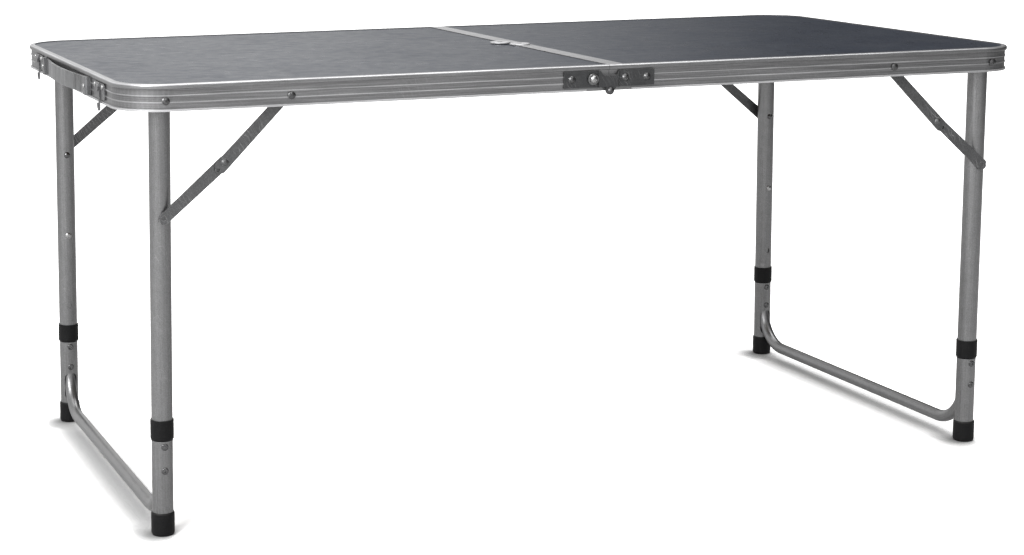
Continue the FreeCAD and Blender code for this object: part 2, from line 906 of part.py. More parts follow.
def latch_hook(corner):
    """A flat hook that hangs from its boss and swings to catch the other half's keeper."""
    y = -size.latch_offset if corner == "front" else size.latch_offset
    x = end_face_x - size.latch_plate_thickness - size.slack_gap
    pivot = rail_bottom_height + size.latch_pivot_height
    body = new_body(f"{corner}_latch_hook", (x, y, pivot))
    eye = size.screw_radius + size.hook_eye_wall
    reach = size.hook_drop
    mouth = size.keeper_radius + size.fit_gap
    bill = mouth + size.hook_bill_wall
    sketch = new_sketch(body, "YZ_Plane", -size.hook_thickness)
    draw_outline(sketch, [
        (eye, 0),
        (0, eye, eye),
        (-eye, 0, eye),
        (-bill, -(reach - mouth)),
        (0, -(reach - mouth + bill), bill),
        (bill, -(reach - mouth), bill),
        (bill, -(reach - mouth * 2)),
        (mouth, -(reach - mouth * 2)),
        (mouth, -(reach - mouth)),
        (0, -reach, -mouth),
        (-mouth, -(reach - mouth), -mouth),
        (-mouth, -eye),
    ])
    pad(body, sketch, size.hook_thickness)
    hole = new_sketch(body, "YZ_Plane")
    draw_circle(hole, 0, 0, size.screw_radius + size.running_gap)
    pocket(body, hole, size.hook_thickness * 3, both_ways=True)


def latch_keepers():
    """Headed studs on the right end, for the hooks to catch when the table is shut."""
    body = new_body("latch_keepers", (half_length, 0, rail_bottom_height + size.keeper_height))
    inner = -(web_inner + size.keeper_grip)
    shelf = size.latch_plate_thickness + size.hook_thickness + size.slack_gap * 2 - rib_face
    radius, head = size.keeper_radius, size.keeper_radius + size.keeper_lip
    y = -size.latch_offset
    shaft = new_sketch(body, "YZ_Plane", inner)
    draw_circle(shaft, y, 0, radius)
    pad(body, shaft, shelf - inner)
    cap = new_sketch(body, "YZ_Plane", shelf)
    draw_circle(cap, y, 0, head)
    pad(body, cap, size.keeper_head_height)
    mirror_to_rear(body)


def seam_disc(side):
    """A disc on one board that reaches over the seam, with a well for its screw's head."""
    side_y = size.disc_y if side == "left" else -size.disc_y
    seat = size.table_height - size.board_recess if side == "left" else size.table_height
    body = new_body(f"{side}_seam_disc", (signed(side, size.disc_x), side_y, seat))
    lift = size.board_recess + size.fit_gap if side == "left" else Size(0)
    top = lift + size.disc_thickness
    radius, boss, chamfer = size.disc_radius, size.disc_boss_radius, size.disc_chamfer
    well, floor = size.disc_well_radius, top - size.disc_well_depth
    outline = [(radius, lift), (radius, top - chamfer), (radius - chamfer, top), (well, top),
               (well, floor), (0, floor)]
    if side == "left":
        outline = [(0, 0), (boss, 0), (boss, lift)] + outline
    else:
        outline = [(0, 0)] + outline
    turn(body, "XZ_Plane", 0, 0, outline)


# --- leg pairs ---------------------------------------------------------------------------------


def cross_tube(side):
    """The tube that joins a pair's tops and turns between the rails."""
    body = leg_pair_body(side, "cross_tube")
    radius, end = cross_tube_radius, cross_tube_end
    turn(body, "XY_Plane", 0, 0, [
        (radius - size.cross_tube_wall, -end),
        (radius, -end),
        (radius, end),
        (radius - size.cross_tube_wall, end),
    ])


def cross_tube_bushes(side):
    """Flanged plastic bushes in the ends of the cross tube, running on the pivot screws."""
    body = leg_pair_body(side, "cross_tube_bushes")
    end, seat, radius = -bush_end, -(bush_end - size.bush_flange), cross_tube_radius
    bore = size.screw_radius + size.running_gap
    body_radius = radius - size.cross_tube_wall - size.slack_gap
    turn(body, "XY_Plane", 0, 0, [
        (bore, end),
        (radius, end),
        (radius, seat),
        (body_radius, seat),
        (body_radius, seat + size.bush_length),
        (bore, seat + size.bush_length),
    ])
    mirror_to_rear(body)


def leg_body(side, corner, label, up=0):
    """A body on one leg's axis: z up along the leg, its own +y facing the opposite leg."""
    rise = Size.of(up)
    x = signed(side, pivot_x - rise * sine(size.splay))
    y = -leg_y if corner == "front" else leg_y
    z = pivot_height + rise * cosine(size.splay)
    turned = (corner == "rear") == (side == "left")
    spin = Rotation(Vector(0, 0, 1), 180 if turned else 0)
    return new_body(f"{corner}_{side}_{label}", (x, y, z), leaning(side) * spin)


def leg_tube(side, corner):
    """The upper leg, with its pivot hole, its stay rivet's hole and two button holes."""
    body = leg_body(side, corner, "leg_tube")
    bottom = foot_tube_top_z + size.fit_gap + size.collar_lip
    ring = new_sketch(body, "XY_Plane", bottom)
    draw_circle(ring, 0, 0, leg_radius)
    draw_circle(ring, 0, 0, leg_bore)
    pad(body, ring, size.leg_top - bottom)
    through = new_sketch(body, "XZ_Plane")
    draw_circle(through, 0, 0, cross_tube_radius + size.slack_gap)
    draw_circle(through, 0, -size.stay_reach, size.screw_radius + size.slack_gap)
    pocket(body, through, both_ways=True)
    inner_wall = new_sketch(body, "XZ_Plane")
    hole = size.button_radius + size.running_gap
    for drop in (Size(0), size.hole_spacing):
        draw_circle(inner_wall, 0, button_z - drop, hole)
    pocket(body, inner_wall, size.leg_diameter)


def leg_top_caps(side):
    body = leg_pair_body(side, "leg_top_caps")
    low, high = size.leg_top, size.leg_top + size.cap_thickness
    chamfer = size.cap_chamfer
    turn(body, "YZ_Plane", 0, -leg_y, [
        (-leg_y, low),
        (-leg_y + leg_radius, low),
        (-leg_y + leg_radius, high - chamfer),
        (-leg_y + leg_radius - chamfer, high),
        (-leg_y, high),
    ])
    mirror_to_rear(body)


def leg_collars(side):
    """Collars under the upper legs, which guide the arms and rest on the foot tubes."""
    body = leg_pair_body(side, "leg_collars")
    low = foot_tube_top_z + size.fit_gap
    high = low + size.collar_height
    inner = leg_radius + size.slack_gap / 2
    outer = inner + size.collar_wall
    guide = arm_radius + size.fit_gap
    ledge = low + size.collar_lip - size.slack_gap
    turn(body, "YZ_Plane", 0, -leg_y, [
        (-leg_y + guide, low),
        (-leg_y + outer - size.collar_taper, low),
        (-leg_y + outer, low + size.collar_taper_height),
        (-leg_y + outer, high),
        (-leg_y + inner, high),
        (-leg_y + inner, ledge),
        (-leg_y + guide, ledge),
    ])
    mirror_to_rear(body)


def stay_rivets(side):
    """Rivets through the upper legs, with a shoulder that keeps the lower stays off the tube."""
    body = leg_pair_body(side, "stay_rivets")
    height = -size.stay_reach
    inner_face = -(leg_y - leg_radius)
    outer_face = -(leg_y + leg_radius)
    stay_inner = -(lower_stay_y - size.stay_thickness - size.slack_gap)
    stay_outer = -lower_stay_y
    radius = size.screw_radius
    turn(body, "XY_Plane", height, 0, [
        (0, stay_outer),
        (radius, stay_outer),
        (radius, stay_inner),
        (radius + size.stay_shoulder, stay_inner),
        (radius + size.stay_shoulder, outer_face),
        (radius, outer_face),
        (radius, inner_face + size.slack_gap),
        (size.stay_head_radius, inner_face + size.slack_gap),
        (0, inner_face + size.screw_head_height,
         head_crown(size.stay_head_radius, size.screw_head_height - size.slack_gap)),
    ])
    mirror_to_rear(body)


# --- lower legs --------------------------------------------------------------------------------


def u_bar(side):
    """One bent tube: an arm up inside each leg, and the bar between them near the floor."""
    body = leg_pair_body(side, "u_bar")
    top = button_z + size.arm_margin
    bar_z = floor_z + size.bar_height
    bend = size.bend_radius
    path = new_sketch(body, "YZ_Plane")
    draw_path(path, [
        (-leg_y, top),
        (-leg_y, bar_z + bend),
        (-leg_y + bend, bar_z, bend),
        (leg_y - bend, bar_z),
        (leg_y, bar_z + bend, bend),
        (leg_y, top),
    ], closed=False)
    ring = new_sketch(body, "XY_Plane", top)
    draw_circle(ring, 0, -leg_y, arm_radius)
    draw_circle(ring, 0, -leg_y, arm_radius - size.arm_wall)
    sweep = body.newObject("PartDesign::AdditivePipe", body.Label + "_sweep")
    sweep.Profile = ring
    sweep.Spine = path
    holes = new_sketch(body, "XZ_Plane")
    draw_circle(holes, 0, button_z, size.button_radius + size.arm_hole_gap)
    pocket(body, holes, leg_y * 2, both_ways=True)


def foot_tubes(side):
    """Short tubes riveted over the arms and cut open on the inside for the bend to leave."""
    body = leg_pair_body(side, "foot_tubes")
    low = floor_z + size.foot_sole + size.slack_gap
    ring = new_sketch(body, "XY_Plane", low)
    draw_circle(ring, 0, -leg_y, leg_radius)
    draw_circle(ring, 0, -leg_y, leg_bore)
    pad(body, ring, foot_tube_top_z - low)
    slot = new_sketch(body, "YZ_Plane")
    bottom, top = floor_z + size.foot_slot_bottom, floor_z + size.foot_slot_top
    draw_box(slot, -leg_y, -leg_y + size.leg_diameter, bottom, top)
    pocket(body, slot, size.leg_diameter * 2, both_ways=True)
    mirror_to_rear(body)


def foot_caps(side):
    """Plastic feet, cut level with the floor although the legs lean."""
    body = leg_pair_body(side, "foot_caps")
    high = floor_z + size.foot_cap_height
    inner = leg_radius + size.slack_gap / 2
    outer = inner + size.foot_cap_wall
    sole = floor_z + size.foot_sole
    rise = size.leg_diameter * tangent(size.splay)
    low = floor_z - rise * 2
    taper = size.foot_cap_taper
    turn(body, "YZ_Plane", 0, -leg_y, [
        (-leg_y, low),
        (-leg_y + outer - taper, low),
        (-leg_y + outer, floor_z + size.foot_cap_taper_height),
        (-leg_y + outer, high - taper),
        (-leg_y + outer - size.foot_cap_edge, high),
        (-leg_y + inner, high),
        (-leg_y + inner, sole),
        (-leg_y, sole),
    ])
    floor = new_sketch(body, "XZ_Plane")
    reach = size.leg_diameter
    draw_outline(floor, [
        (-reach, floor_z - rise),
        (-reach, floor_z - reach),
        (reach, floor_z - reach),
        (reach, floor_z + rise),
    ])
    pocket(body, floor, both_ways=True)
    mirror_to_rear(body)


def spring_clips(side):
    """Bent strips inside the arms that push the buttons out."""
    body = leg_pair_body(side, "spring_clips")
    inner = arm_radius - size.arm_wall
    strip, width = size.clip_thickness, size.button_radius * 2
    near = -leg_y + inner - size.button_travel - strip
    far = -leg_y - inner + size.clip_offset
    top = button_z + size.button_radius + size.clip_margin
    bottom = button_z - size.clip_drop
    radius = (near - far) / 2
    middle = (near + far) / 2
    sketch = new_sketch(body, "YZ_Plane", -width / 2)
    draw_outline(sketch, [
        (near + strip, top),
        (near, top),
        (near, bottom),
        (middle, bottom - radius, -radius),
        (far, bottom, -radius),
        (far, top - size.clip_short),
        (far - strip, top - size.clip_short),
        (far - strip, bottom),
        (middle, bottom - radius - strip, radius + strip),
        (near + strip, bottom, radius + strip),
    ])
    pad(body, sketch, width)
    mirror_to_rear(body)


def leg_button(side, corner):
    """The domed button that stands out of the leg's inner face."""
    body = leg_body(side, corner, "leg_button", up=button_z)
    inner = arm_radius + size.slack_gap * 2
    rim = leg_radius + size.button_stand / 2
    tip = leg_radius + size.button_stand
    radius = size.button_radius
    turn(body, "XY_Plane", 0, 0, [
        (0, inner),
        (radius, inner),
        (radius, rim),
        (0, tip, head_crown(radius, tip - rim)),
    ])


# --- folding stays -----------------------------------------------------------------------------


def stay_triangle():
    """The two links' lengths and slopes: D on the rail, B on the leg, C the knee between them.

    The links lie flat over each other on the rail once the leg is folded, which needs
    upper - lower = spacing - reach. The knee is stay_bow off the line DB, away from the corner.
    """
    across = size.stay_spacing + size.stay_reach * sine(size.splay)
    down = size.stay_reach * cosine(size.splay)
    base = root(across * across + down * down)
    half_base, half_difference = base / 2, (size.stay_spacing - size.stay_reach) / 2
    stretch = root(size.stay_bow * size.stay_bow
                   / (half_base * half_base - half_difference * half_difference) + 1)
    along = half_difference * stretch
    bow = size.stay_bow
    upper = root((half_base + along) * (half_base + along) + bow * bow)
    lower = root((half_base - along) * (half_base - along) + bow * bow)
    slope = math.degrees(math.atan2(down.value, across.value))
    upper_angle = 180 + slope + math.degrees(math.asin(bow.value / upper.value))
    lower_angle = slope - math.degrees(math.asin(bow.value / lower.value))
    return upper, lower, upper_angle, lower_angle


def stay_body(side, corner, label, x, y, z, angle):
    """A link's body: x along the link, y away from the rail, with the link's angle from level."""
    front = (corner == "front") == (side == "left")
    world_y = -y if corner == "front" else y
    flip = Rotation(Vector(1, 0, 0), 0 if front else 180)
    slope = Rotation(Vector(0, 1, 0), -angle)
    return new_body(f"{corner}_{side}_{label}", (signed(side, x), world_y, z), facing(side) * slope * flip)


def link_outline(length, tail):
    """A bar with rounded ends round its pivot and past its knee."""
    half = size.stay_width / 2
    return [
        (0, half),
        (-half, 0, half),
        (0, -half, half),
        (length + tail, -half),
        (length + tail + half, 0, half),
        (length + tail, half, half),
    ]


def upper_stay(side, corner):
    """The link on the rail, with the knee rivet's outer half and a spare hole past the knee."""
    length, _, angle, _ = stay_triangle()
    body = stay_body(side, corner, "upper_stay", pivot_x - size.stay_spacing, upper_stay_y,
                     pivot_height, angle)
    bar = new_sketch(body, "XZ_Plane", -size.stay_thickness)
    draw_outline(bar, link_outline(length, size.stay_tail - size.stay_width / 2))
    pad(body, bar, size.stay_thickness)
    holes = new_sketch(body, "XZ_Plane")
    draw_circle(holes, 0, 0, size.screw_radius + size.running_gap)
    draw_circle(holes, length + size.stay_tail - size.screw_radius, 0, size.spare_hole_radius)
    pocket(body, holes, size.stay_thickness * 3, both_ways=True)
    head, sunk = size.stay_head_radius, size.stay_thickness / 4
    turn(body, "XY_Plane", 0, length, [
        (length, sunk),
        (length + head, sunk),
        (length + head, 0),
        (length, -size.knee_head_height, -head_crown(head, size.knee_head_height)),
    ])


def lower_stay(side, corner):
    """The link on the leg, with the knee rivet's inner half."""
    _, length, _, angle = stay_triangle()
    x = pivot_x + size.stay_reach * sine(size.splay)
    z = pivot_height - size.stay_reach * cosine(size.splay)
    body = stay_body(side, corner, "lower_stay", x, lower_stay_y, z, angle)
    bar = new_sketch(body, "XZ_Plane", -size.stay_thickness)
    draw_outline(bar, link_outline(length, Size(0)))
    pad(body, bar, size.stay_thickness)
    hole = new_sketch(body, "XZ_Plane")
    draw_circle(hole, 0, 0, size.screw_radius + size.running_gap)
    pocket(body, hole, size.stay_thickness * 3, both_ways=True)
    head, face, sunk = size.stay_head_radius, size.stay_thickness, size.stay_thickness * 3 / 4
    turn(body, "XY_Plane", 0, length, [
        (length, sunk),
        (length, face + size.knee_tail_height),
        (length + head - size.rivet_chamfer, face + size.knee_tail_height),
        (length + head, face),
        (length + head, sunk),
    ])


def build():
    for side in ("left", "right"):
        edge_rail(side)
        top_board(side)
        seam_rail(side)
        leg_pivot_screws(side)
        stay_pivots(side)
        hinge_leaves(side)
        hinge_screws(side)
        seam_disc(side)
        cross_tube(side)
        cross_tube_bushes(side)
        leg_top_caps(side)
        leg_collars(side)
        stay_rivets(side)
        u_bar(side)
        foot_tubes(side)
        foot_caps(side)
        spring_clips(side)
        for corner in ("front", "rear"):
            leg_tube(side, corner)
            leg_button(side, corner)
            upper_stay(side, corner)
            lower_stay(side, corner)
    hinge_pins()
    hinge_stop_studs()
    hinge_stop_rollers()
    handle_strap()
    handle_end_caps()
    latch_plates()
    latch_hook("front")
    latch_hook("rear")
    latch_keepers()


def check_and_export():
    """Stop on any failed feature, then write one file for each body."""
    doc.recompute()
    for item in doc.Objects:
        if set(item.State) & {"Invalid", "Error"}:
            raise RuntimeError(f"{item.Label}: {item.State} {item.getStatusString()}")
    bodies = [item for item in doc.Objects if item.isDerivedFrom("PartDesign::Body")]
    for body in bodies:
        if body.Shape.isNull() or not body.Shape.isValid():
            raise RuntimeError(f"{body.Label} has no valid shape")
    os.makedirs("parts", exist_ok=True)
    for body in bodies:
        body.Shape.exportStep(f"parts/{body.Label}.step")
        box = body.Shape.BoundBox
        print(body.Label, len(body.Shape.Solids), "solids", round(body.Shape.Volume), "mm3",
              [round(v, 1) for v in (box.XMin, box.XMax, box.YMin, box.YMax, box.ZMin, box.ZMax)])


build()
check_and_export()
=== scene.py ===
"""Finishes, small fixings and studio for a folding table whose two halves are hinged in the middle.

Run as a script. Sizes are metres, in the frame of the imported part: X along the table, Y across it
with the front at -Y, Z up from the floor.
"""

import json
import math
from contextlib import contextmanager
from itertools import product

import bmesh
import bpy
from bpy.props import FloatProperty, FloatVectorProperty, PointerProperty
from mathutils import Matrix, Vector


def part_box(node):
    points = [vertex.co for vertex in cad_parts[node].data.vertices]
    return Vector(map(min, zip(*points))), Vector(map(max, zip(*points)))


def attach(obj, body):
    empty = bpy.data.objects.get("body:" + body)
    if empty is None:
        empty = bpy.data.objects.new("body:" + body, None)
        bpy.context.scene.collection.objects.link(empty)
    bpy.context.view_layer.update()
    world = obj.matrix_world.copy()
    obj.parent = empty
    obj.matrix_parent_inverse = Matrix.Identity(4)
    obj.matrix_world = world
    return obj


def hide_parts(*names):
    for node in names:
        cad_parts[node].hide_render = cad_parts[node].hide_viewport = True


bl_info = {
    "name": "Folding Table Finishes",
    "version": (1, 0, 0),
    "blender": (4, 5, 0),
    "location": "3D View > Sidebar > Folding Table",
    "description": "Finishes, small fixings and studio for a folding table",
    "category": "Object",
}

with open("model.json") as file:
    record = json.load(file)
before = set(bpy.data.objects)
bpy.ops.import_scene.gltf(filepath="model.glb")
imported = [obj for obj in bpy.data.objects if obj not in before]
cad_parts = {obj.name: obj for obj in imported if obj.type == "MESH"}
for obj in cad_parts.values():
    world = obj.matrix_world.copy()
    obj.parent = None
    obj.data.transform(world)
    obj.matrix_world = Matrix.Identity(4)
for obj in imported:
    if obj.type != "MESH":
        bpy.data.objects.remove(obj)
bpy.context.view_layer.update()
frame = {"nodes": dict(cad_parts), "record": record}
SIDES = {"left": -1.0, "right": 1.0}      # each half, with its way along X
CORNERS = {"front": -1.0, "rear": 1.0}    # each long side, with its way along Y

SAME_PLACE = 1e-6             # points nearer to each other than this are one point
LYING_FLAT = 0.999            # how far up or down the normal of a flat-lying face points, at least
BEND_TOLERANCE = 1e-4         # how far the lowest point of a bent bar may be from where it should be
OUTLINE_SHARE = 0.04          # how far a point may be from a stay's outline, against half its width
RAIL_CORNER = 0.06            # corner radius of the rails' outermost line
RAIL_LIP = 0.0026             # height of the lip along their lower edge
RAIL_BEAD = 0.0057            # height of the bead along their upper edge
LATCH_RIVET_SPREAD = 0.70     # a latch rivet from the hook, against the plate's end from the hook
HOOK_GAP = 0.0001             # between a latch hook and the plate behind it

# The floor's painted shadow is drawn from pieces that stand near it on this side.
TOWARDS_LIGHT = (0.62, 0.22, 0.75)    # the way in which the floor looks for pieces that shade it
CARD_RADIUS, CARD_HEIGHT = 4.5, 5.4
CARD_START, CARD_END = 12, 170        # degrees from +Y towards +X
CARD_GRADES = ((0.07, 1.0), (0.12, 0.72), (0.20, 0.05), (0.50, 0.05), (0.76, 0.16), (0.93, 0.95))
CAMERA_PLACE = (-1.11810, -2.55634, 0.79106)
CAMERA_BEARING, CAMERA_FALL, CAMERA_TILT = 0.3439, 0.2060, 0.0061    # radians
CAMERA_SHIFT = (0.1397, 0.0052)

# Each steel finish: its colour setting, grain size, roughness, metallic, edge rub and scratches. The edge
# rub is partly wear and partly painted highlight on the rims of screw, rivet and roller heads.
STEEL_FINISHES = {
    "Zinc Stay": ("stay_colour", 0.0016, 0.42, 0.75, 0.7, 0.7),
    "Oxide Hinge Leaf": ("leaf_colour", 0.0013, 0.5, 0.6, 0.35, 0.35),
    "Nickel Plating": ("plating_colour", 0.0009, 0.24, 1.0, 0.4, 0.4),
    "Zinc Latch": ("latch_colour", 0.0012, 0.3, 0.9, 0.8, 0.6),
    "Oiled Screw": ("screw_colour", 0.0010, 0.30, 0.95, 0.8, 0.3),
    "Turned Roller": ("roller_colour", 0.0010, 0.26, 1.0, 0.9, 0.2),
    "Satin Rivet": ("rivet_colour", 0.0009, 0.22, 0.95, 0.8, 0.2),
}

# Where they go: a slot, and words in the names of its nodes. The empty word is in every name.
STEEL_USES = (
    ("stay_steel", "Zinc Stay", ("",)),
    ("hinge_steel", "Oxide Hinge Leaf", ("",)),
    ("plated_steel", "Nickel Plating", ("",)),
    ("plated_steel", "Zinc Latch", ("latch",)),
    ("plated_steel", "Oiled Screw", ("screw", "pins", "pivots")),
    ("plated_steel", "Turned Roller", ("roller",)),
    ("plated_steel", "Satin Rivet", ("stay_rivets",)),
)


# ---------------------------------------------------------------- settings

def colour_setting(name, description, default):
    """A colour that the user picks, kept as linear red, green and blue."""
    return FloatVectorProperty(name=name, description=description, default=default,
                               subtype="COLOR", min=0.0, max=1.0)


def length_setting(name, description, default):
    """A length in metres."""
    return FloatProperty(name=name, description=description, default=default,
                         unit="LENGTH", min=0.0, precision=5)


def share_setting(name, description, default):
    """A number from 0 to 1."""
    return FloatProperty(name=name, description=description, default=default,
                         subtype="FACTOR", min=0.0, max=1.0)


class RailFinishSettings(bpy.types.PropertyGroup):
    """Drawn and anodised rails round the two halves"""
    web_colour: colour_setting("Web", "Dull metal in the recess of the rail", (0.198, 0.198, 0.201))
    # Painted highlight: these paint the bead, ribs and lip lighter than the web, and the top sheen is a
    # painted sheen on the faces that point up.
    highlight_colour: colour_setting("Crest", "Metal on the bead, ribs and lip, rubbed bright",
                                 (0.60, 0.60, 0.61))
    painted_top_sheen: share_setting("Top Shine", "How bright the flat top faces are against the crests", 0.64)
    highlight_depth: length_setting("Crest Depth", "How far below the outermost line the bright metal reaches",
                                0.0015)
    line_width: length_setting("Line Width", "Spacing of the drawing lines", 0.0006)
    roughness: share_setting("Roughness", "Roughness of the anodised metal", 0.36)


class BoardFinishSettings(bpy.types.PropertyGroup):
    """Painted boards"""
    face_colour: colour_setting("Face", "Slate blue face of the boards", (0.024, 0.028, 0.038))
    back_colour: colour_setting("Back", "Pressed fibre on the underside", (0.16, 0.125, 0.09))
    speckle: share_setting("Speckle", "Strength of the fine speckle in the paint", 0.8)
    roughness: share_setting("Roughness", "Roughness of the paint", 0.30)


class TubeFinishSettings(bpy.types.PropertyGroup):
    """Satin tubes of the legs"""
    tube_colour: colour_setting("Tube", "Satin anodised tube", (0.225, 0.225, 0.227))
    line_width: length_setting("Line Width", "Spacing of the drawing lines", 0.0009)
    roughness: share_setting("Roughness", "Roughness of the satin metal", 0.31)


class SteelFinishSettings(bpy.types.PropertyGroup):
    """Stays, hinge leaves, screws, discs and latches"""
    stay_width: length_setting("Stay Width", "Width of the flat stays", 0.0122)
    stay_colour: colour_setting("Stay", "Zinc on the stays", (0.125, 0.126, 0.128))
    leaf_colour: colour_setting("Hinge Leaf", "Dark oxide on the hinge leaves", (0.062, 0.063, 0.065))
    plating_colour: colour_setting("Plating", "Nickel on rivets, rollers and buttons", (0.42, 0.42, 0.42))
    screw_colour: colour_setting("Screws", "Oiled steel of the screws and hinge pins", (0.11, 0.11, 0.112))
    latch_colour: colour_setting("Latch", "Dull zinc on the latch plates, hooks and keepers",
                                 (0.17, 0.17, 0.175))
    rivet_colour: colour_setting("Rivets", "Dull metal of the rivets in the legs", (0.125, 0.125, 0.127))
    roller_colour: colour_setting("Roller", "Turned steel of the hinge rollers", (0.17, 0.17, 0.172))
    disc_colour: colour_setting("Disc", "Turned discs at the seam", (0.60, 0.60, 0.61))
    # The worn edge colour serves the scratches and the edge rub, which is partly wear and partly painted
    # highlight.
    wear_and_highlight_colour: colour_setting("Worn Edge", "Bare steel where an edge is rubbed", (0.55, 0.55, 0.55))


class StrapFinishSettings(bpy.types.PropertyGroup):
    """Carrying strap and its caps"""
    strap_colour: colour_setting("Strap", "Silver grey strap", (0.17, 0.172, 0.176))
    ripple_width: length_setting("Ripple Width", "Length of one ripple along the strap", 0.017)


class PlasticFinishSettings(bpy.types.PropertyGroup):
    """Collars, foot caps, leg caps and bushes"""
    plastic_colour: colour_setting("Plastic", "Black moulded plastic", (0.007, 0.007, 0.0074))
    grain_size: length_setting("Grain Size", "Size of the moulded grain", 0.0011)


class LowerLegSettings(bpy.types.PropertyGroup):
    """Bent bars between the feet, and the short tubes that they leave through a slot"""
    bar_radius: length_setting("Bar Radius", "Outside of the bent bar near the floor", 0.0080)
    bar_height: length_setting("Bar Height", "Middle of the bent bar above the floor", 0.0195)
    bend_radius: length_setting("Bend Radius", "Bend of the bar's middle line", 0.058)
    bar_offset: length_setting("Bar Offset", "How far the bar is in from the leg's axis in the foot tube",
                               0.0028)
    arm_radius: length_setting("Arm Radius", "Outside of the bar's upper arm in the leg", 0.011)
    arm_top: length_setting("Arm Top", "Top of the arm above the floor", 0.288)
    wall: length_setting("Wall", "Wall of the bar", 0.0015)
    swage_top: length_setting("Swage Top", "Where the arm starts to narrow", 0.110)
    swage_bottom: length_setting("Swage Bottom", "Where it has the bar's size", 0.100)
    hole_height: length_setting("Button Hole Height", "Middle of the button hole above the floor", 0.268)
    hole_radius: length_setting("Button Hole Radius", "Hole that the button stands in", 0.0045)
    tube_radius: length_setting("Foot Tube Radius", "Outside of the foot tube", 0.0125)
    tube_wall: length_setting("Foot Tube Wall", "Wall of the foot tube", 0.0012)
    tube_bottom: length_setting("Foot Tube Bottom", "Lower end of the foot tube above the floor", 0.0040)
    tube_top: length_setting("Foot Tube Top", "Upper end of the foot tube above the floor", 0.1151)
    slot_radius: length_setting("Slot Radius", "Half the width of the slot that the bar leaves through",
                                0.0084)
    slot_bottom: length_setting("Slot Bottom", "Lower end of the slot above the floor", 0.0325)
    slot_top: length_setting("Slot Top", "Upper end of the slot above the floor", 0.0715)
    pivot_reach: length_setting("Pivot Reach", "Leg pivot from the middle of the table", 0.550)
    pivot_height: length_setting("Pivot Height", "Leg pivot above the floor", 0.516)
    leg_reach: length_setting("Leg Reach", "Leg's axis from the middle of the table, across it", 0.2675)
    lean: FloatProperty(name="Lean", description="Outward lean of the legs", default=math.radians(1.0),
                        unit="ROTATION")


class FixingSettings(bpy.types.PropertyGroup):
    """Rivets and screws that are too small for the frame"""
    foot_rivet_radius: length_setting("Foot Rivet Radius", "Head of a foot rivet", 0.0043)
    foot_rivet_crown: length_setting("Foot Rivet Crown", "Height of a foot rivet's head", 0.0019)
    upper_foot_rivet: length_setting("Upper Foot Rivet", "Height of the upper foot rivet", 0.109)
    lower_foot_rivet: length_setting("Lower Foot Rivet", "Height of the lower foot rivet", 0.080)
    rivet_sink: length_setting("Rivet Sink", "How far a foot rivet's head is drawn into the tube", 0.0006)
    latch_rivet_radius: length_setting("Latch Rivet Radius", "Head of a latch or strap rivet", 0.0027)
    latch_rivet_crown: length_setting("Latch Rivet Crown", "Height of that head", 0.0018)
    disc_screw_radius: length_setting("Disc Screw Radius", "Head of the screw through a seam disc", 0.0032)
    disc_screw_crown: length_setting("Disc Screw Crown", "Height of that head", 0.0010)
    disc_well: length_setting("Disc Well", "Depth of the well that the screw's head sits in", 0.0011)


class StudioSettings(bpy.types.PropertyGroup):
    """Floor, lamps and camera"""
    floor_size: length_setting("Floor Size", "Side of the square floor", 40.0)
    floor_lift: share_setting("Floor Lift", "How far the floor's own white is lifted", 0.10)
    floor_white: FloatProperty(name="Floor White", description="How white the floor looks to the camera",
                               default=1.9, min=0.0)
    # These shade settings paint a shadow into the floor's colour near the pieces: how near, how dark, and
    # how much light is left.
    shade_reach: length_setting("Shade Reach", "How near the floor a piece must be to shade it", 0.042)
    shade_depth: FloatProperty(name="Shade Depth", description="How dark the shade close to a piece is",
                               default=5.0, min=0.0)
    shade_floor: share_setting("Shade Floor", "Light that is left in the deepest shade", 0.16)
    floor_bounce: share_setting("Floor Bounce", "How much light the floor throws back up", 0.60)
    bend_power: FloatProperty(name="Bend Lamp", description="Small lamp that the bends and beads reflect",
                              default=12.0, unit="POWER", min=0.0)
    world_level: share_setting("World Level", "Soft light from all round", 0.42)
    key_power: FloatProperty(name="Key Lamp", description="Large soft lamp at the front left",
                             default=195.0, unit="POWER", min=0.0)
    sky_strength: FloatProperty(name="Overhead Light", description="Even soft light from above",
                                default=1.4, min=0.0)
    lens: FloatProperty(name="Lens", description="Focal length on a 36 mm wide sensor, in millimetres",
                        default=72.96, min=10.0)


# ---------------------------------------------------------------- building shader trees

def add_node(tree, kind, inputs=None, **settings):
    """Adds a node, sets its settings, and fills its inputs with values or with other nodes' sockets."""
    node = tree.nodes.new(kind)
    for name, value in settings.items():
        setattr(node, name, value)
    for name, value in (inputs or {}).items():
        if isinstance(value, bpy.types.NodeSocket):
            tree.links.new(value, node.inputs[name])
        else:
            node.inputs[name].default_value = value
    return node


def maths(tree, operation, *values):
    """One Math node; returns its result."""
    return add_node(tree, "ShaderNodeMath", dict(enumerate(values)), operation=operation).outputs[0]


def vector_maths(tree, operation, *values, result="Vector"):
    """One Vector Math node; returns its result."""
    node = add_node(tree, "ShaderNodeVectorMath", dict(enumerate(values)), operation=operation)
    return node.outputs[result]


def split(tree, vector):
    """A vector's X, Y and Z."""
    parts = add_node(tree, "ShaderNodeSeparateXYZ", {"Vector": vector}).outputs
    return parts["X"], parts["Y"], parts["Z"]


def join(tree, x=0.0, y=0.0, z=0.0):
    """A vector from its X, Y and Z."""
    return add_node(tree, "ShaderNodeCombineXYZ", {"X": x, "Y": y, "Z": z}).outputs[0]


def remap(tree, value, low, high, new_low=0.0, new_high=1.0):
    """Maps a range of values onto another, and clamps the result."""
    return add_node(tree, "ShaderNodeMapRange",
                    {"Value": value, "From Min": low, "From Max": high,
                     "To Min": new_low, "To Max": new_high}).outputs["Result"]


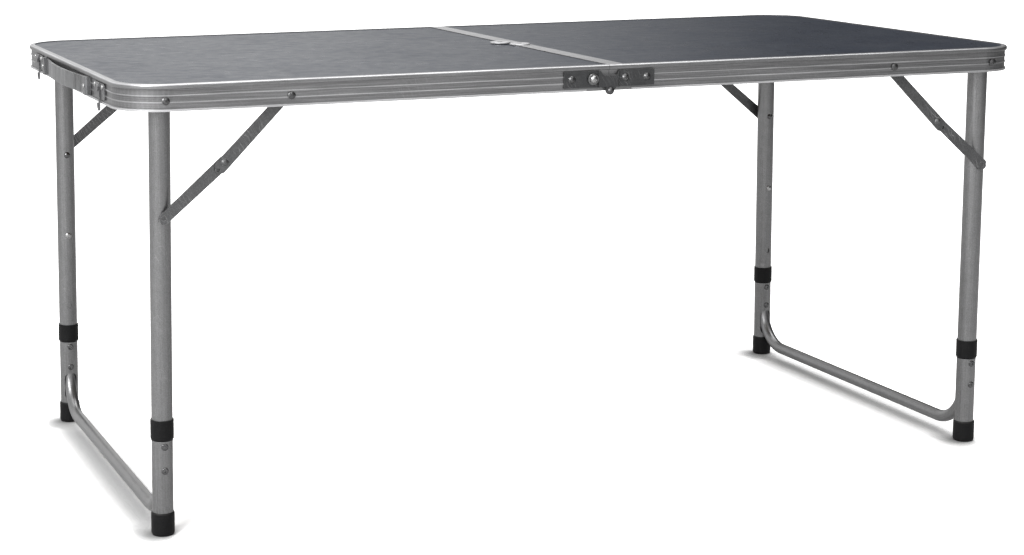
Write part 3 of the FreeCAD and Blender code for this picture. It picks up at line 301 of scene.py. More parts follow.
def mix_colours(tree, factor, first, second):
    """Mixes two colours."""
    return add_node(tree, "ShaderNodeMix", {0: factor, 6: first, 7: second}, data_type="RGBA").outputs[2]


def scale_colour(tree, colour, amount):
    """Makes a colour lighter or darker by a number that changes over the surface."""
    return vector_maths(tree, "MULTIPLY", colour, join(tree, amount, amount, amount))


def opaque(colour):
    """A colour property as red, green, blue and alpha."""
    return (colour[0], colour[1], colour[2], 1.0)


def grey(level):
    """An opaque grey."""
    return (level, level, level, 1.0)


def noise(tree, vector, scale, detail=2.0, roughness=0.5):
    """One Noise Texture; returns its value."""
    return add_node(tree, "ShaderNodeTexNoise", {"Vector": vector, "Scale": scale, "Detail": detail,
                                                 "Roughness": roughness}).outputs[0]


def start_group(name, inputs, outputs):
    """A new node group. An input without a default is a vector; the rest, in and out, are numbers.

    Returns the tree, the sockets that it is given and the sockets that it fills.
    """
    tree = bpy.data.node_groups.new(name, "ShaderNodeTree")
    for label, default in inputs.items():
        kind = "NodeSocketVector" if default is None else "NodeSocketFloat"
        socket = tree.interface.new_socket(name=label, in_out="INPUT", socket_type=kind)
        if default is not None:
            socket.default_value = default
    for label in outputs:
        tree.interface.new_socket(name=label, in_out="OUTPUT", socket_type="NodeSocketFloat")
    return tree, tree.nodes.new("NodeGroupInput").outputs, tree.nodes.new("NodeGroupOutput").inputs


def use_group(tree, name, inputs):
    """Places a node group in a material; returns its results."""
    return add_node(tree, "ShaderNodeGroup", inputs, node_tree=bpy.data.node_groups[name]).outputs


def build_outline_group():
    """Signed distance outwards from a rectangle with rounded corners, in the group's own X and Y."""
    tree, given, result = start_group(
        "Rounded Outline", {"Position": None, "Half Size": None, "Corner Radius": 0.05}, ["Distance"])
    in_plane = (1.0, 1.0, 0.0)
    corner = given["Corner Radius"]
    folded = vector_maths(tree, "ABSOLUTE", vector_maths(tree, "MULTIPLY", given["Position"], in_plane))
    core = vector_maths(tree, "SUBTRACT", given["Half Size"], join(tree, corner, corner))
    beyond = vector_maths(tree, "SUBTRACT", folded, core)
    outside = vector_maths(tree, "MAXIMUM", vector_maths(tree, "MULTIPLY", beyond, in_plane),
                           (0.0, 0.0, 0.0))
    reach = vector_maths(tree, "LENGTH", outside, result="Value")
    inside = maths(tree, "MINIMUM", maths(tree, "MAXIMUM", *split(tree, beyond)[:2]), 0.0)
    distance = maths(tree, "SUBTRACT", maths(tree, "ADD", reach, inside), corner)
    tree.links.new(distance, result["Distance"])


def build_drawn_metal_group():
    """Long fine lines left by drawing metal through a die."""
    tree, given, result = start_group(
        "Drawn Lines", {"Across": 0.0, "Second Across": 0.0, "Along": 0.0, "Line Width": 0.001},
        ["Lines", "Bands"])
    width = given["Line Width"]
    length = maths(tree, "MULTIPLY", width, 90.0)
    fine = join(tree, maths(tree, "DIVIDE", given["Across"], width),
                maths(tree, "DIVIDE", given["Second Across"], width),
                maths(tree, "DIVIDE", given["Along"], length))
    broad = vector_maths(tree, "MULTIPLY", fine, (0.22, 0.22, 0.35))
    tree.links.new(noise(tree, fine, 1.0, 3.0, 0.6), result["Lines"])
    tree.links.new(noise(tree, broad, 1.0, 2.0, 0.5), result["Bands"])


def build_grain_group():
    """Two sizes of grain laid over each other."""
    tree, given, result = start_group(
        "Fine Grain", {"Position": None, "Grain Size": 0.001}, ["Grain", "Mottle"])
    fine = maths(tree, "DIVIDE", 1.0, given["Grain Size"])
    coarse = maths(tree, "MULTIPLY", fine, 0.12)
    tree.links.new(noise(tree, given["Position"], fine, 2.0, 0.55), result["Grain"])
    tree.links.new(noise(tree, given["Position"], coarse, 4.0, 0.6), result["Mottle"])


def build_scuff_group():
    """Fine wandering scratches that come in patches."""
    tree, given, result = start_group(
        "Scuffs", {"Position": None, "Patch Size": 0.05, "Amount": 0.5}, ["Scratch", "Patch"])
    scale = maths(tree, "DIVIDE", 1.0, given["Patch Size"])
    strand_scale = maths(tree, "MULTIPLY", scale, 2.2)
    patch = remap(tree, noise(tree, given["Position"], scale, 3.0, 0.6), 0.48, 0.68)
    strands = []
    for turn in (0.5, -0.9):
        turned = add_node(tree, "ShaderNodeMapping", {"Vector": given["Position"],
                                                      "Rotation": (turn, turn * 0.7, turn)}).outputs[0]
        wave = add_node(tree, "ShaderNodeTexWave",
                        {"Vector": turned, "Scale": strand_scale, "Distortion": 9.0, "Detail": 3.0,
                         "Detail Scale": 0.7}, wave_type="BANDS")
        strands.append(remap(tree, wave.outputs["Fac"], 0.985, 1.0))
    scratch = maths(tree, "MULTIPLY", maths(tree, "MAXIMUM", *strands), patch)
    for label, share in (("Scratch", scratch), ("Patch", patch)):
        tree.links.new(maths(tree, "MULTIPLY", share, given["Amount"]), result[label])


def build_edge_rub_group():
    """Where the edges of a piece are lightened: partly wear from handling, partly painted highlight along
    rims and edges.
    """
    tree, given, result = start_group(
        "Edge Rub", {"Position": None, "Reach": 0.0006, "Amount": 0.6}, ["Rub"])
    eased = add_node(tree, "ShaderNodeBevel", {"Radius": given["Reach"]}, samples=4)
    true_normal = add_node(tree, "ShaderNodeNewGeometry").outputs["Normal"]
    agreement = vector_maths(tree, "DOT_PRODUCT", eased.outputs["Normal"], true_normal, result="Value")
    edge = remap(tree, agreement, 0.995, 0.90)
    broken = remap(tree, noise(tree, given["Position"], 160.0, 3.0, 0.6), 0.38, 0.62)
    rub = maths(tree, "MULTIPLY", maths(tree, "MULTIPLY", edge, broken), given["Amount"])
    tree.links.new(rub, result["Rub"])


def build_dust_group():
    """Thin dust on the faces that point up."""
    tree, given, result = start_group(
        "Settled Dust", {"Position": None, "Facing": None, "Amount": 0.2}, ["Dust"])
    lying = remap(tree, split(tree, given["Facing"])[2], 0.2, 0.95)
    cloud = remap(tree, noise(tree, given["Position"], 18.0, 5.0, 0.65), 0.35, 0.75)
    dust = maths(tree, "MULTIPLY", maths(tree, "MULTIPLY", lying, cloud), given["Amount"])
    tree.links.new(dust, result["Dust"])


def build_groups():
    """Builds every shared effect once."""
    if "Rounded Outline" in bpy.data.node_groups:
        return
    for build in (build_outline_group, build_drawn_metal_group, build_grain_group, build_scuff_group,
                  build_edge_rub_group, build_dust_group):
        build()


def empty_material(name):
    """A new material with an empty tree; returns both."""
    material = bpy.data.materials.new(name)
    material.use_nodes = True
    material.node_tree.nodes.clear()
    return material, material.node_tree


class Finish:
    """A material while it is being made: its shader, and the effects that the finishes share."""

    def __init__(self, name, **constants):
        """Starts the material with a plain shader and the piece's own position."""
        build_groups()
        self.material, self.tree = empty_material(name)
        self.shader = add_node(self.tree, "ShaderNodeBsdfPrincipled",
                               {label.replace("_", " "): value for label, value in constants.items()})
        add_node(self.tree, "ShaderNodeOutputMaterial", {"Surface": self.shader.outputs["BSDF"]})
        place = self.tree.nodes.new("ShaderNodeTexCoord").outputs
        self.position = place["Object"]
        self.facing = place["Normal"]

    def effect(self, group, inputs):
        """Places a shared effect at the piece's position; returns its results."""
        return use_group(self.tree, group, {"Position": self.position, **inputs})

    def grain(self, size):
        """The Grain and Mottle of the fine grain."""
        return self.effect("Fine Grain", {"Grain Size": size})

    def scuffs(self, patch_size, amount):
        """The Scratch and Patch of the scuffs."""
        return self.effect("Scuffs", {"Patch Size": patch_size, "Amount": amount})

    def rub(self, reach, amount):
        """Where the edges are lightened by wear and painted highlight."""
        return self.effect("Edge Rub", {"Reach": reach, "Amount": amount})["Rub"]

    def dust(self, amount):
        """Where dust has settled."""
        return self.effect("Settled Dust", {"Facing": self.facing, "Amount": amount})["Dust"]

    def plus(self, *values):
        """Adds two numbers."""
        return maths(self.tree, "ADD", *values)

    def times(self, *values):
        """Multiplies two numbers."""
        return maths(self.tree, "MULTIPLY", *values)

    def spread(self, noise_value, low, high):
        """Spreads the middle of a noise over the range between two numbers."""
        return remap(self.tree, noise_value, 0.3, 0.7, low, high)

    def cover(self, colour, *layers):
        """Lays other colours over a colour, each where its share says."""
        for share, top in layers:
            colour = mix_colours(self.tree, share, colour, top)
        return colour

    def complete(self, colour, roughness, height, strength, distance):
        """Feeds the shader its colour, roughness and bump; returns the material."""
        relief = add_node(self.tree, "ShaderNodeBump",
                          {"Strength": strength, "Distance": distance, "Height": height})
        for label, value in (("Base Color", colour), ("Roughness", roughness),
                             ("Normal", relief.outputs["Normal"])):
            self.tree.links.new(value, self.shader.inputs[label])
        return self.material


def finish_nodes(names, material):
    """Puts a material in every slot of the named nodes of the frame."""
    for name in names:
        node = frame["nodes"][name]
        if not node.material_slots:
            raise RuntimeError(f"{name} has no material slot")
        for place in node.material_slots:
            place.material = material


def made_finish(name):
    """A finish that an earlier step made."""
    if name not in bpy.data.materials:
        raise RuntimeError(f"make the finish {name} first")
    return bpy.data.materials[name]


def nodes_in_slot(slot):
    """Names of the frame's nodes whose record gives them this material slot."""
    names = []
    for name, node in frame["nodes"].items():
        if any(place.material and place.material.name.split(".")[0] == slot
               for place in node.material_slots):
            names.append(name)
    if not names:
        raise RuntimeError(f"no node uses the slot {slot}")
    return sorted(names)


NODES_BY_SLOT = {entry["slot"]: nodes_in_slot(entry["slot"]) for entry in frame["record"]["materials"]}


# ---------------------------------------------------------------- finishes

def rail_material(settings):
    """Drawn rails: dull in the recess, with a painted highlight on the bead, ribs and lip and a painted
    sheen on the flat faces that point up.
    """
    low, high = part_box("left_edge_rail")
    half = (max(-low.x, high.x), high.y, 0.0)
    finish = Finish("Anodised Rail", Metallic=0.9)
    tree = finish.tree
    x, y, z = split(tree, finish.position)
    up = split(tree, finish.facing)[2]
    depth = use_group(tree, "Rounded Outline", {"Position": finish.position, "Half Size": half,
                                                "Corner Radius": RAIL_CORNER})["Distance"]
    lines = use_group(tree, "Drawn Lines", {"Across": depth, "Second Across": z, "Along": finish.plus(x, y),
                                            "Line Width": settings.line_width})
    grain = finish.grain(0.0016)
    scuffs = finish.scuffs(0.05, 0.12)
    dust = finish.dust(0.16)
    # Painted highlight: bead, ribs and lip painted lighter than the web, the bead only on its rounding that
    # faces up, plus a painted sheen on upward flat faces.
    painted_highlight = remap(tree, depth, -settings.highlight_depth - 0.0008, -settings.highlight_depth + 0.0004)
    lip = remap(tree, z, low.z + RAIL_LIP + 0.0004, low.z + RAIL_LIP - 0.0004)
    bead = remap(tree, z, high.z - RAIL_BEAD - 0.0003, high.z - RAIL_BEAD + 0.0003)
    unlit_bead_face = finish.times(bead, remap(tree, up, 0.75, 0.25))
    bead_highlight_share = maths(tree, "SUBTRACT", 1.0, finish.times(unlit_bead_face, 0.9))
    highlight_strength = maths(tree, "MAXIMUM", maths(tree, "MAXIMUM", lip, bead), 0.85)
    painted_highlight = finish.times(finish.times(painted_highlight, bead_highlight_share), highlight_strength)
    painted_highlight = maths(tree, "MAXIMUM", painted_highlight, remap(tree, up, 0.9, 0.97, 0.0, settings.painted_top_sheen))
    colour = mix_colours(tree, painted_highlight, opaque(settings.web_colour), opaque(settings.highlight_colour))
    tone = finish.plus(finish.spread(lines["Lines"], 0.70, 1.30),
                       finish.spread(lines["Bands"], -0.16, 0.16))
    tone = finish.times(tone, finish.spread(grain["Grain"], 0.92, 1.06))
    colour = finish.cover(scale_colour(tree, colour, tone), (scuffs["Scratch"], grey(0.68)),
                          (dust, (0.42, 0.41, 0.40, 1.0)))
    rough = finish.plus(finish.spread(lines["Lines"], -0.07, 0.09), settings.roughness)
    rough = finish.plus(rough, finish.times(dust, 0.5))
    return finish.complete(colour, rough, lines["Lines"], 0.35, 0.0002)


def board_material(settings):
    """Painted board: slate blue above, pressed fibre below."""
    finish = Finish("Painted Board", Specular_IOR_Level=0.10)
    tree = finish.tree
    grain = finish.grain(0.0022)
    flecks = finish.grain(0.0009)
    scuffs = finish.scuffs(0.13, 0.35)
    dust = finish.dust(0.10)
    above = remap(tree, split(tree, finish.facing)[2], -0.6, -0.4)
    lighter = opaque([channel * (1.0 + settings.speckle) for channel in settings.face_colour])
    paint = mix_colours(tree, remap(tree, grain["Grain"], 0.35, 0.65),
                        opaque(settings.face_colour), lighter)
    paint = scale_colour(tree, paint, finish.spread(grain["Mottle"], 0.93, 1.07))
    fleck = remap(tree, flecks["Grain"], 0.62, 0.74, 0.0, settings.speckle)
    paint = finish.cover(paint, (fleck, (0.10, 0.11, 0.13, 1.0)))
    fibre = scale_colour(tree, settings.back_colour, finish.spread(grain["Grain"], 0.7, 1.25))
    colour = finish.cover(fibre, (above, paint), (scuffs["Scratch"], (0.11, 0.12, 0.14, 1.0)),
                          (dust, grey(0.20)))
    gloss = finish.plus(finish.spread(grain["Mottle"], -0.04, 0.05), settings.roughness)
    gloss = finish.plus(gloss, finish.times(scuffs["Patch"], 0.08))
    rough = mix_colours(tree, above, grey(0.85), gloss)
    return finish.complete(colour, rough, grain["Grain"], 0.25, 0.0002)


def tube_material(name, settings, path=None):
    """Satin tube with lines along it: upright, across the table, or along a bent bar."""
    finish = Finish(name, Metallic=0.85)
    tree = finish.tree
    x, y, z = split(tree, finish.position)
    second, along = y, z
    if path == "bar":
        legs = bpy.context.scene.table_lower_legs
        deep = 1.0
        lifted = maths(tree, "SUBTRACT", z, legs.bar_height + deep)
        second = use_group(tree, "Rounded Outline",
                           {"Position": join(tree, y, lifted), "Corner Radius": legs.bend_radius,
                            "Half Size": (legs.leg_reach - legs.bar_offset, deep, 0.0)})["Distance"]
        along = finish.plus(y, z)
    elif path == "cross":
        second, along = z, y
    lines = use_group(tree, "Drawn Lines", {"Across": x, "Second Across": second, "Along": along,
                                            "Line Width": settings.line_width})
    grain = finish.grain(0.0014)
    scuffs = finish.scuffs(0.045, 0.2)
    dust = finish.dust(0.25)
    # Edge rub: lighter edges, partly wear and partly painted highlight.
    rub = finish.rub(0.0008, 0.5)
    tone = finish.plus(finish.spread(lines["Lines"], 0.90, 1.08),
                       finish.spread(lines["Bands"], -0.05, 0.05))
    tone = finish.times(tone, finish.spread(grain["Grain"], 0.86, 1.12))
    tone = finish.times(tone, finish.spread(grain["Mottle"], 0.95, 1.05))
    colour = finish.cover(scale_colour(tree, settings.tube_colour, tone), (scuffs["Scratch"], grey(0.55)),
                          (rub, grey(0.60)), (dust, (0.40, 0.39, 0.38, 1.0)))
    rough = finish.plus(finish.spread(lines["Lines"], -0.05, 0.07), settings.roughness)
    return finish.complete(colour, rough, finish.plus(lines["Lines"], grain["Grain"]), 0.22, 0.00015)


def steel_finish(name, settings):
    """Flat steel: grain in the plating, edges lightened by wear and painted highlight, scratches and dust.
    Each finish is made once.
    """
    if name in bpy.data.materials:
        return bpy.data.materials[name]
    colour_name, grain_size, roughness, metallic, rub_amount, scratch_amount = STEEL_FINISHES[name]
    wear_and_highlight = opaque(settings.wear_and_highlight_colour)
    finish = Finish(name, Metallic=metallic)
    grain = finish.grain(grain_size)
    scuffs = finish.scuffs(0.03, scratch_amount)
    # Edge rub: lighter edges and rims, partly wear and partly painted highlight.
    rub = finish.rub(0.0006, rub_amount)
    dust = finish.dust(0.2)
    tone = finish.times(finish.spread(grain["Grain"], 0.78, 1.22),
                        finish.spread(grain["Mottle"], 0.88, 1.10))
    colour = scale_colour(finish.tree, getattr(settings, colour_name), tone)
    colour = finish.cover(colour, (scuffs["Scratch"], wear_and_highlight), (rub, wear_and_highlight), (dust, (0.34, 0.33, 0.32, 1.0)))
    rough = finish.plus(finish.spread(grain["Mottle"], -0.07, 0.09), roughness)
    rough = maths(finish.tree, "SUBTRACT", rough, finish.times(rub, 0.12))
    return finish.complete(colour, rough, grain["Grain"], 0.3, 0.00015)


def disc_material(settings):
    """Turned disc: rings round each disc's own middle."""
    finish = Finish("Turned Disc", Metallic=0.5)
    tree = finish.tree
    rings = []
    for side in SIDES:
        low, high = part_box(f"{side}_seam_disc")
        middle = (low + high) / 2
        centred = add_node(tree, "ShaderNodeMapping", {"Vector": finish.position,
                                                       "Location": (-middle.x, -middle.y, 0.0)}).outputs[0]
        rings.append(vector_maths(tree, "LENGTH", vector_maths(tree, "MULTIPLY", centred, (1.0, 1.0, 0.0)),
                                  result="Value"))
    lines = use_group(tree, "Drawn Lines", {"Across": maths(tree, "MINIMUM", *rings),
                                            "Line Width": 0.0004})["Lines"]
    # Edge rub: lighter rims, partly wear and partly painted highlight.
    rub = finish.rub(0.0005, 0.5)
    grain = finish.grain(0.001)
    tone = finish.times(finish.spread(lines, 0.82, 1.1), finish.spread(grain["Mottle"], 0.9, 1.06))
    colour = finish.cover(scale_colour(tree, settings.disc_colour, tone), (rub, grey(0.8)))
    return finish.complete(colour, finish.spread(lines, 0.36, 0.5), lines, 0.4, 0.0002)


def strap_material(settings):
    """Silvered strap with soft ripples across it: a bump, and a painted reflection that lightens and
    darkens the colour with the ripples.
    """
    finish = Finish("Silvered Strap", Metallic=0.7)
    tree = finish.tree
    _, y, z = split(tree, finish.position)
    stretched = join(tree, 0.0, maths(tree, "DIVIDE", y, settings.ripple_width), finish.times(z, 12.0))
    ripple_and_painted_reflection = noise(tree, stretched, 1.0, 3.0, 0.55)
    grain = finish.grain(0.0015)
    # Edge rub: lighter edges, partly wear and partly painted highlight.
    rub = finish.rub(0.0008, 0.7)
    scuffs = finish.scuffs(0.03, 0.5)
    # Painted reflection: the colour is lighter and darker with the ripples, besides their bump.
    tone = finish.times(remap(tree, ripple_and_painted_reflection, 0.32, 0.68, 0.35, 1.75),
                        finish.spread(grain["Grain"], 0.85, 1.15))
    colour = finish.cover(scale_colour(tree, settings.strap_colour, tone), (scuffs["Scratch"], grey(0.5)),
                          (rub, grey(0.62)))
    return finish.complete(colour, finish.spread(ripple_and_painted_reflection, 0.25, 0.42), ripple_and_painted_reflection, 0.8, 0.0016)


def plastic_material(settings):
    """Black moulded plastic with a fine grain, edges lightened by wear and painted highlight, and dust on
    the faces that point up.
    """
    finish = Finish("Black Moulding", Specular_IOR_Level=0.15)
    grain = finish.grain(settings.grain_size)
    # Edge rub: lighter edges, partly wear and partly painted highlight.
    rub = finish.rub(0.0008, 0.5)
    dust = finish.dust(0.25)
    tone = finish.times(finish.spread(grain["Grain"], 0.6, 1.5), finish.spread(grain["Mottle"], 0.85, 1.2))
    colour = finish.cover(scale_colour(finish.tree, settings.plastic_colour, tone), (rub, grey(0.06)),
                          (dust, (0.22, 0.21, 0.20, 1.0)))
    return finish.complete(colour, finish.spread(grain["Mottle"], 0.42, 0.58), grain["Grain"], 0.35, 0.0002)


# ---------------------------------------------------------------- modelling helpers

def deselect_everything():
    """Leaves object mode with nothing selected."""
    if bpy.context.mode != "OBJECT":
        bpy.ops.object.mode_set(mode="OBJECT")
    bpy.ops.object.select_all(action="DESELECT")


def take_up(obj):
    """Selects one object to work on, and nothing else."""
    deselect_everything()
    obj.select_set(True)
    bpy.context.view_layer.objects.active = obj


@contextmanager
def editing(obj):
    """Edits one object's mesh, and leaves edit mode at the end."""
    take_up(obj)
    bpy.ops.object.mode_set(mode="EDIT")
    yield
    bpy.ops.object.mode_set(mode="OBJECT")


def select_parts(obj, kind, wanted):
    """Selects the VERT, EDGE or FACE parts of the mesh in edit mode that pass a test, and nothing else."""
    bpy.ops.mesh.select_mode(type=kind)
    bpy.ops.mesh.select_all(action="DESELECT")
    mesh = bmesh.from_edit_mesh(obj.data)
    parts = {"VERT": mesh.verts, "EDGE": mesh.edges, "FACE": mesh.faces}[kind]
    chosen = [part for part in parts if wanted(part)]
    if not chosen:
        raise RuntimeError(f"{obj.name}: nothing passed the test")
    for part in chosen:
        part.select_set(True)
    bmesh.update_edit_mesh(obj.data)


def apply_modifier(obj, kind, **settings):
    """Adds a modifier to an object, and applies it."""
    take_up(obj)
    modifier = obj.modifiers.new(kind.title(), kind)
    for name, value in settings.items():
        setattr(modifier, name, value)
    bpy.ops.object.modifier_apply(modifier=modifier.name)


def settle(obj):
    """Puts an object's place into its mesh and smooths it."""
    take_up(obj)
    bpy.ops.object.transform_apply(location=True, rotation=True, scale=True)
    bpy.ops.object.shade_smooth_by_angle(angle=math.radians(40))
    obj.select_set(False)


def cut_away(piece, blade):
    """Cuts one object's shape out of another, and removes the blade."""
    apply_modifier(piece, "BOOLEAN", operation="DIFFERENCE", solver="EXACT", object=blade)
    bpy.data.objects.remove(blade)


def drill(piece, place, radius, length):
    """Drills a hole across the table."""
    deselect_everything()
    bpy.ops.mesh.primitive_cylinder_add(vertices=32, radius=radius, depth=length, location=place,
                                        rotation=(math.pi / 2, 0.0, 0.0))
    cut_away(piece, bpy.context.active_object)


def merge_doubles():
    """Joins the points of the mesh in edit mode that are in the same place."""
    bpy.ops.mesh.select_all(action="SELECT")
    bpy.ops.mesh.remove_doubles(threshold=SAME_PLACE)


def close_and_thicken(shell, wall):
    """Merges a shell's doubles, turns its faces outwards and gives it a wall on the inside."""
    with editing(shell):
        merge_doubles()
        bpy.ops.mesh.normals_make_consistent(inside=False)
    apply_modifier(shell, "SOLIDIFY", thickness=wall, offset=-1.0)


def draw_ring_along(x, y, z):
    """Extrudes the selected ring of edges by a distance."""
    bpy.ops.mesh.extrude_region_move(TRANSFORM_OT_translate={"value": (x, y, z)})


def cut_cross(head, place, turn, arm, width, depth):
    """Sinks a cross recess, narrower at its bottom, into a head."""
    for quarter in (0.0, math.pi / 2):
        lying = turn @ Matrix.Rotation(quarter, 3, "Z").to_quaternion()
        deselect_everything()
        bpy.ops.mesh.primitive_cube_add(size=1.0, location=place, rotation=lying.to_euler(),
                                        scale=(arm * 2, width, depth * 2))
        blade = bpy.context.active_object
        with editing(blade):
            select_parts(blade, "FACE", lambda face: face.normal.z < -LYING_FLAT)
            bpy.ops.transform.resize(value=(0.6, 0.6, 1.0), orient_type="LOCAL")
        cut_away(head, blade)


def model_head(name, radius, crown, place, facing, dimple=None, cross=None):
    """A domed head, seated at a place and facing along a unit vector.

    dimple is the radius of the pit left by a blind rivet's mandrel; cross is the width of a cross recess.
    """
    deselect_everything()
    turn = Vector((0.0, 0.0, 1.0)).rotation_difference(facing)
    bpy.ops.mesh.primitive_cylinder_add(vertices=32, radius=radius, depth=crown, end_fill_type="NGON",
                                        location=place + facing * crown / 2, rotation=turn.to_euler())
    head = bpy.context.active_object
    head.name = name
    head.data.name = name
    top = crown / 2 - SAME_PLACE
    rounding = crown * 0.62
    rim = radius * 0.2
    with editing(head):
        select_parts(head, "EDGE", lambda edge: all(vertex.co.z > top for vertex in edge.verts))
        bpy.ops.mesh.bevel(offset=rounding, offset_type="OFFSET", segments=4, profile=0.5, affect="EDGES")
        select_parts(head, "FACE", lambda face: face.normal.z > LYING_FLAT and len(face.verts) > 8)
        bpy.ops.mesh.inset(thickness=rim, depth=crown * 0.10)
        if dimple:
            bpy.ops.mesh.inset(thickness=max(radius * 0.8 - rounding - dimple, radius * 0.02), depth=0.0)
            bpy.ops.mesh.inset(thickness=dimple * 0.18, depth=-dimple * 0.7)
        else:
            bpy.ops.mesh.inset(thickness=rim, depth=crown * 0.04)
        select_parts(head, "FACE", lambda face: face.normal.z < -LYING_FLAT)
        bpy.ops.mesh.inset(thickness=radius * 0.25, depth=0.0)
    if cross:
        cut_cross(head, place + facing * crown, turn, radius * 0.62, cross, crown * 0.75)
    settle(head)
    return head


def copy_piece(piece, name, move):
    """A copy with its own mesh, moved or turned by a matrix."""
    twin = piece.copy()
    twin.data = piece.data.copy()
    twin.name = name
    twin.data.name = name
    bpy.context.scene.collection.objects.link(twin)
    twin.data.transform(move)
    return twin


def place_piece(piece, body, material):
    """Gives a new piece its finish and the body that it rides on."""
    piece.data.materials.clear()
    piece.data.materials.append(material)
    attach(piece, body)


def add_heads(heads, material, radius, crown, **recess):
    """Adds the heads in a list of names, places, facings and bodies.

    The first is modelled. The others are copies of it, turned round where they face the other way.
    """
    first = None
    for name, place, facing, body in heads:
        if first is None:
            head = first = model_head(name, radius, crown, place, facing, **recess)
            start, start_facing = place, facing
        else:
            turn = Matrix.Rotation(0.0 if facing == start_facing else math.pi, 4, "Z")
            head = copy_piece(first, name, Matrix.Translation(place) @ turn @ Matrix.Translation(-start))
        place_piece(head, body, material)


def lean_with_legs(side, settings):
    """Moves a piece from the middle line out to one end's legs, and leans it with them."""
    way = SIDES[side]
    return (Matrix.Translation((way * settings.pivot_reach, 0.0, settings.pivot_height))
            @ Matrix.Rotation(-way * settings.lean, 4, "Y")
            @ Matrix.Translation((0.0, 0.0, -settings.pivot_height)))


def background_share(tree):
    """1 for rays that see the background as plain white: from the camera, off gloss and through glass."""
    path = tree.nodes.new("ShaderNodeLightPath").outputs
    seen = maths(tree, "MAXIMUM", path["Is Camera Ray"], path["Is Glossy Ray"])
    return maths(tree, "MAXIMUM", seen, path["Is Transmission Ray"])


def add_lamp(name, place, aim, size, power):
    """A soft square lamp that isn't seen itself."""
    lamp = bpy.data.lights.new(name, "AREA")
    lamp.shape = "SQUARE"
    lamp.size = size
    lamp.energy = power
    holder = bpy.data.objects.new(name, lamp)
    bpy.context.scene.collection.objects.link(holder)
    holder.location = place
    holder.rotation_euler = (Vector(aim) - Vector(place)).to_track_quat("-Z", "Y").to_euler()
    holder.visible_camera = False


# ---------------------------------------------------------------- operators

class TABLE_OT_finish_rails(bpy.types.Operator):
    """Finish the drawn rails round both halves and along the seam"""
    bl_idname = "table.finish_rails"
    bl_label = "Finish Rails"

    def execute(self, context):
        """Assigns the rail finish."""
        finish_nodes(NODES_BY_SLOT["rail_aluminium"], rail_material(context.scene.table_rails))
        return {"FINISHED"}


class TABLE_OT_finish_boards(bpy.types.Operator):
    """Finish both top boards"""
    bl_idname = "table.finish_boards"
    bl_label = "Finish Boards"

    def execute(self, context):
        """Assigns the board finish."""
        finish_nodes(NODES_BY_SLOT["board"], board_material(context.scene.table_boards))
        return {"FINISHED"}


class TABLE_OT_finish_tubes(bpy.types.Operator):
    """Finish the legs, the cross tubes and the bent bars between the legs"""
    bl_idname = "table.finish_tubes"
    bl_label = "Finish Tubes"

    def execute(self, context):
        """Assigns one tube finish for each way that the tubes run."""
        settings = context.scene.table_tubes
        tubes = NODES_BY_SLOT["leg_tube"]
        finish_nodes(tubes, tube_material("Satin Leg Tube", settings))
        finish_nodes([name for name in tubes if name.endswith("u_bar")],
                     tube_material("Satin Bent Bar", settings, "bar"))
        finish_nodes([name for name in tubes if name.endswith("cross_tube")],
                     tube_material("Satin Cross Tube", settings, "cross"))
        return {"FINISHED"}


class TABLE_OT_finish_steel(bpy.types.Operator):
    """Finish the stays, the hinge leaves, the fixings, the latches and the seam discs"""
    bl_idname = "table.finish_steel"
    bl_label = "Finish Steel Parts"

    def execute(self, context):
        """Assigns the steel finishes: a slot's own first, then those of single pieces in it."""
        settings = context.scene.table_steel
        for slot, name, words in STEEL_USES:
            names = [node for node in NODES_BY_SLOT[slot] if any(word in node for word in words)]
            finish_nodes(names, steel_finish(name, settings))
        finish_nodes(NODES_BY_SLOT["disc_metal"], disc_material(settings))
        return {"FINISHED"}


class TABLE_OT_finish_strap(bpy.types.Operator):
    """Finish the carrying strap and its caps"""
    bl_idname = "table.finish_strap"
    bl_label = "Finish Strap"

    def execute(self, context):
        """Assigns the strap finish."""
        finish_nodes(NODES_BY_SLOT["handle_strap"], strap_material(context.scene.table_strap))
        return {"FINISHED"}


class TABLE_OT_finish_plastic(bpy.types.Operator):
    """Finish the collars, caps and bushes"""
    bl_idname = "table.finish_plastic"
    bl_label = "Finish Plastic Parts"

    def execute(self, context):
        """Assigns the plastic finish."""
        finish_nodes(NODES_BY_SLOT["black_plastic"], plastic_material(context.scene.table_plastic))
        return {"FINISHED"}


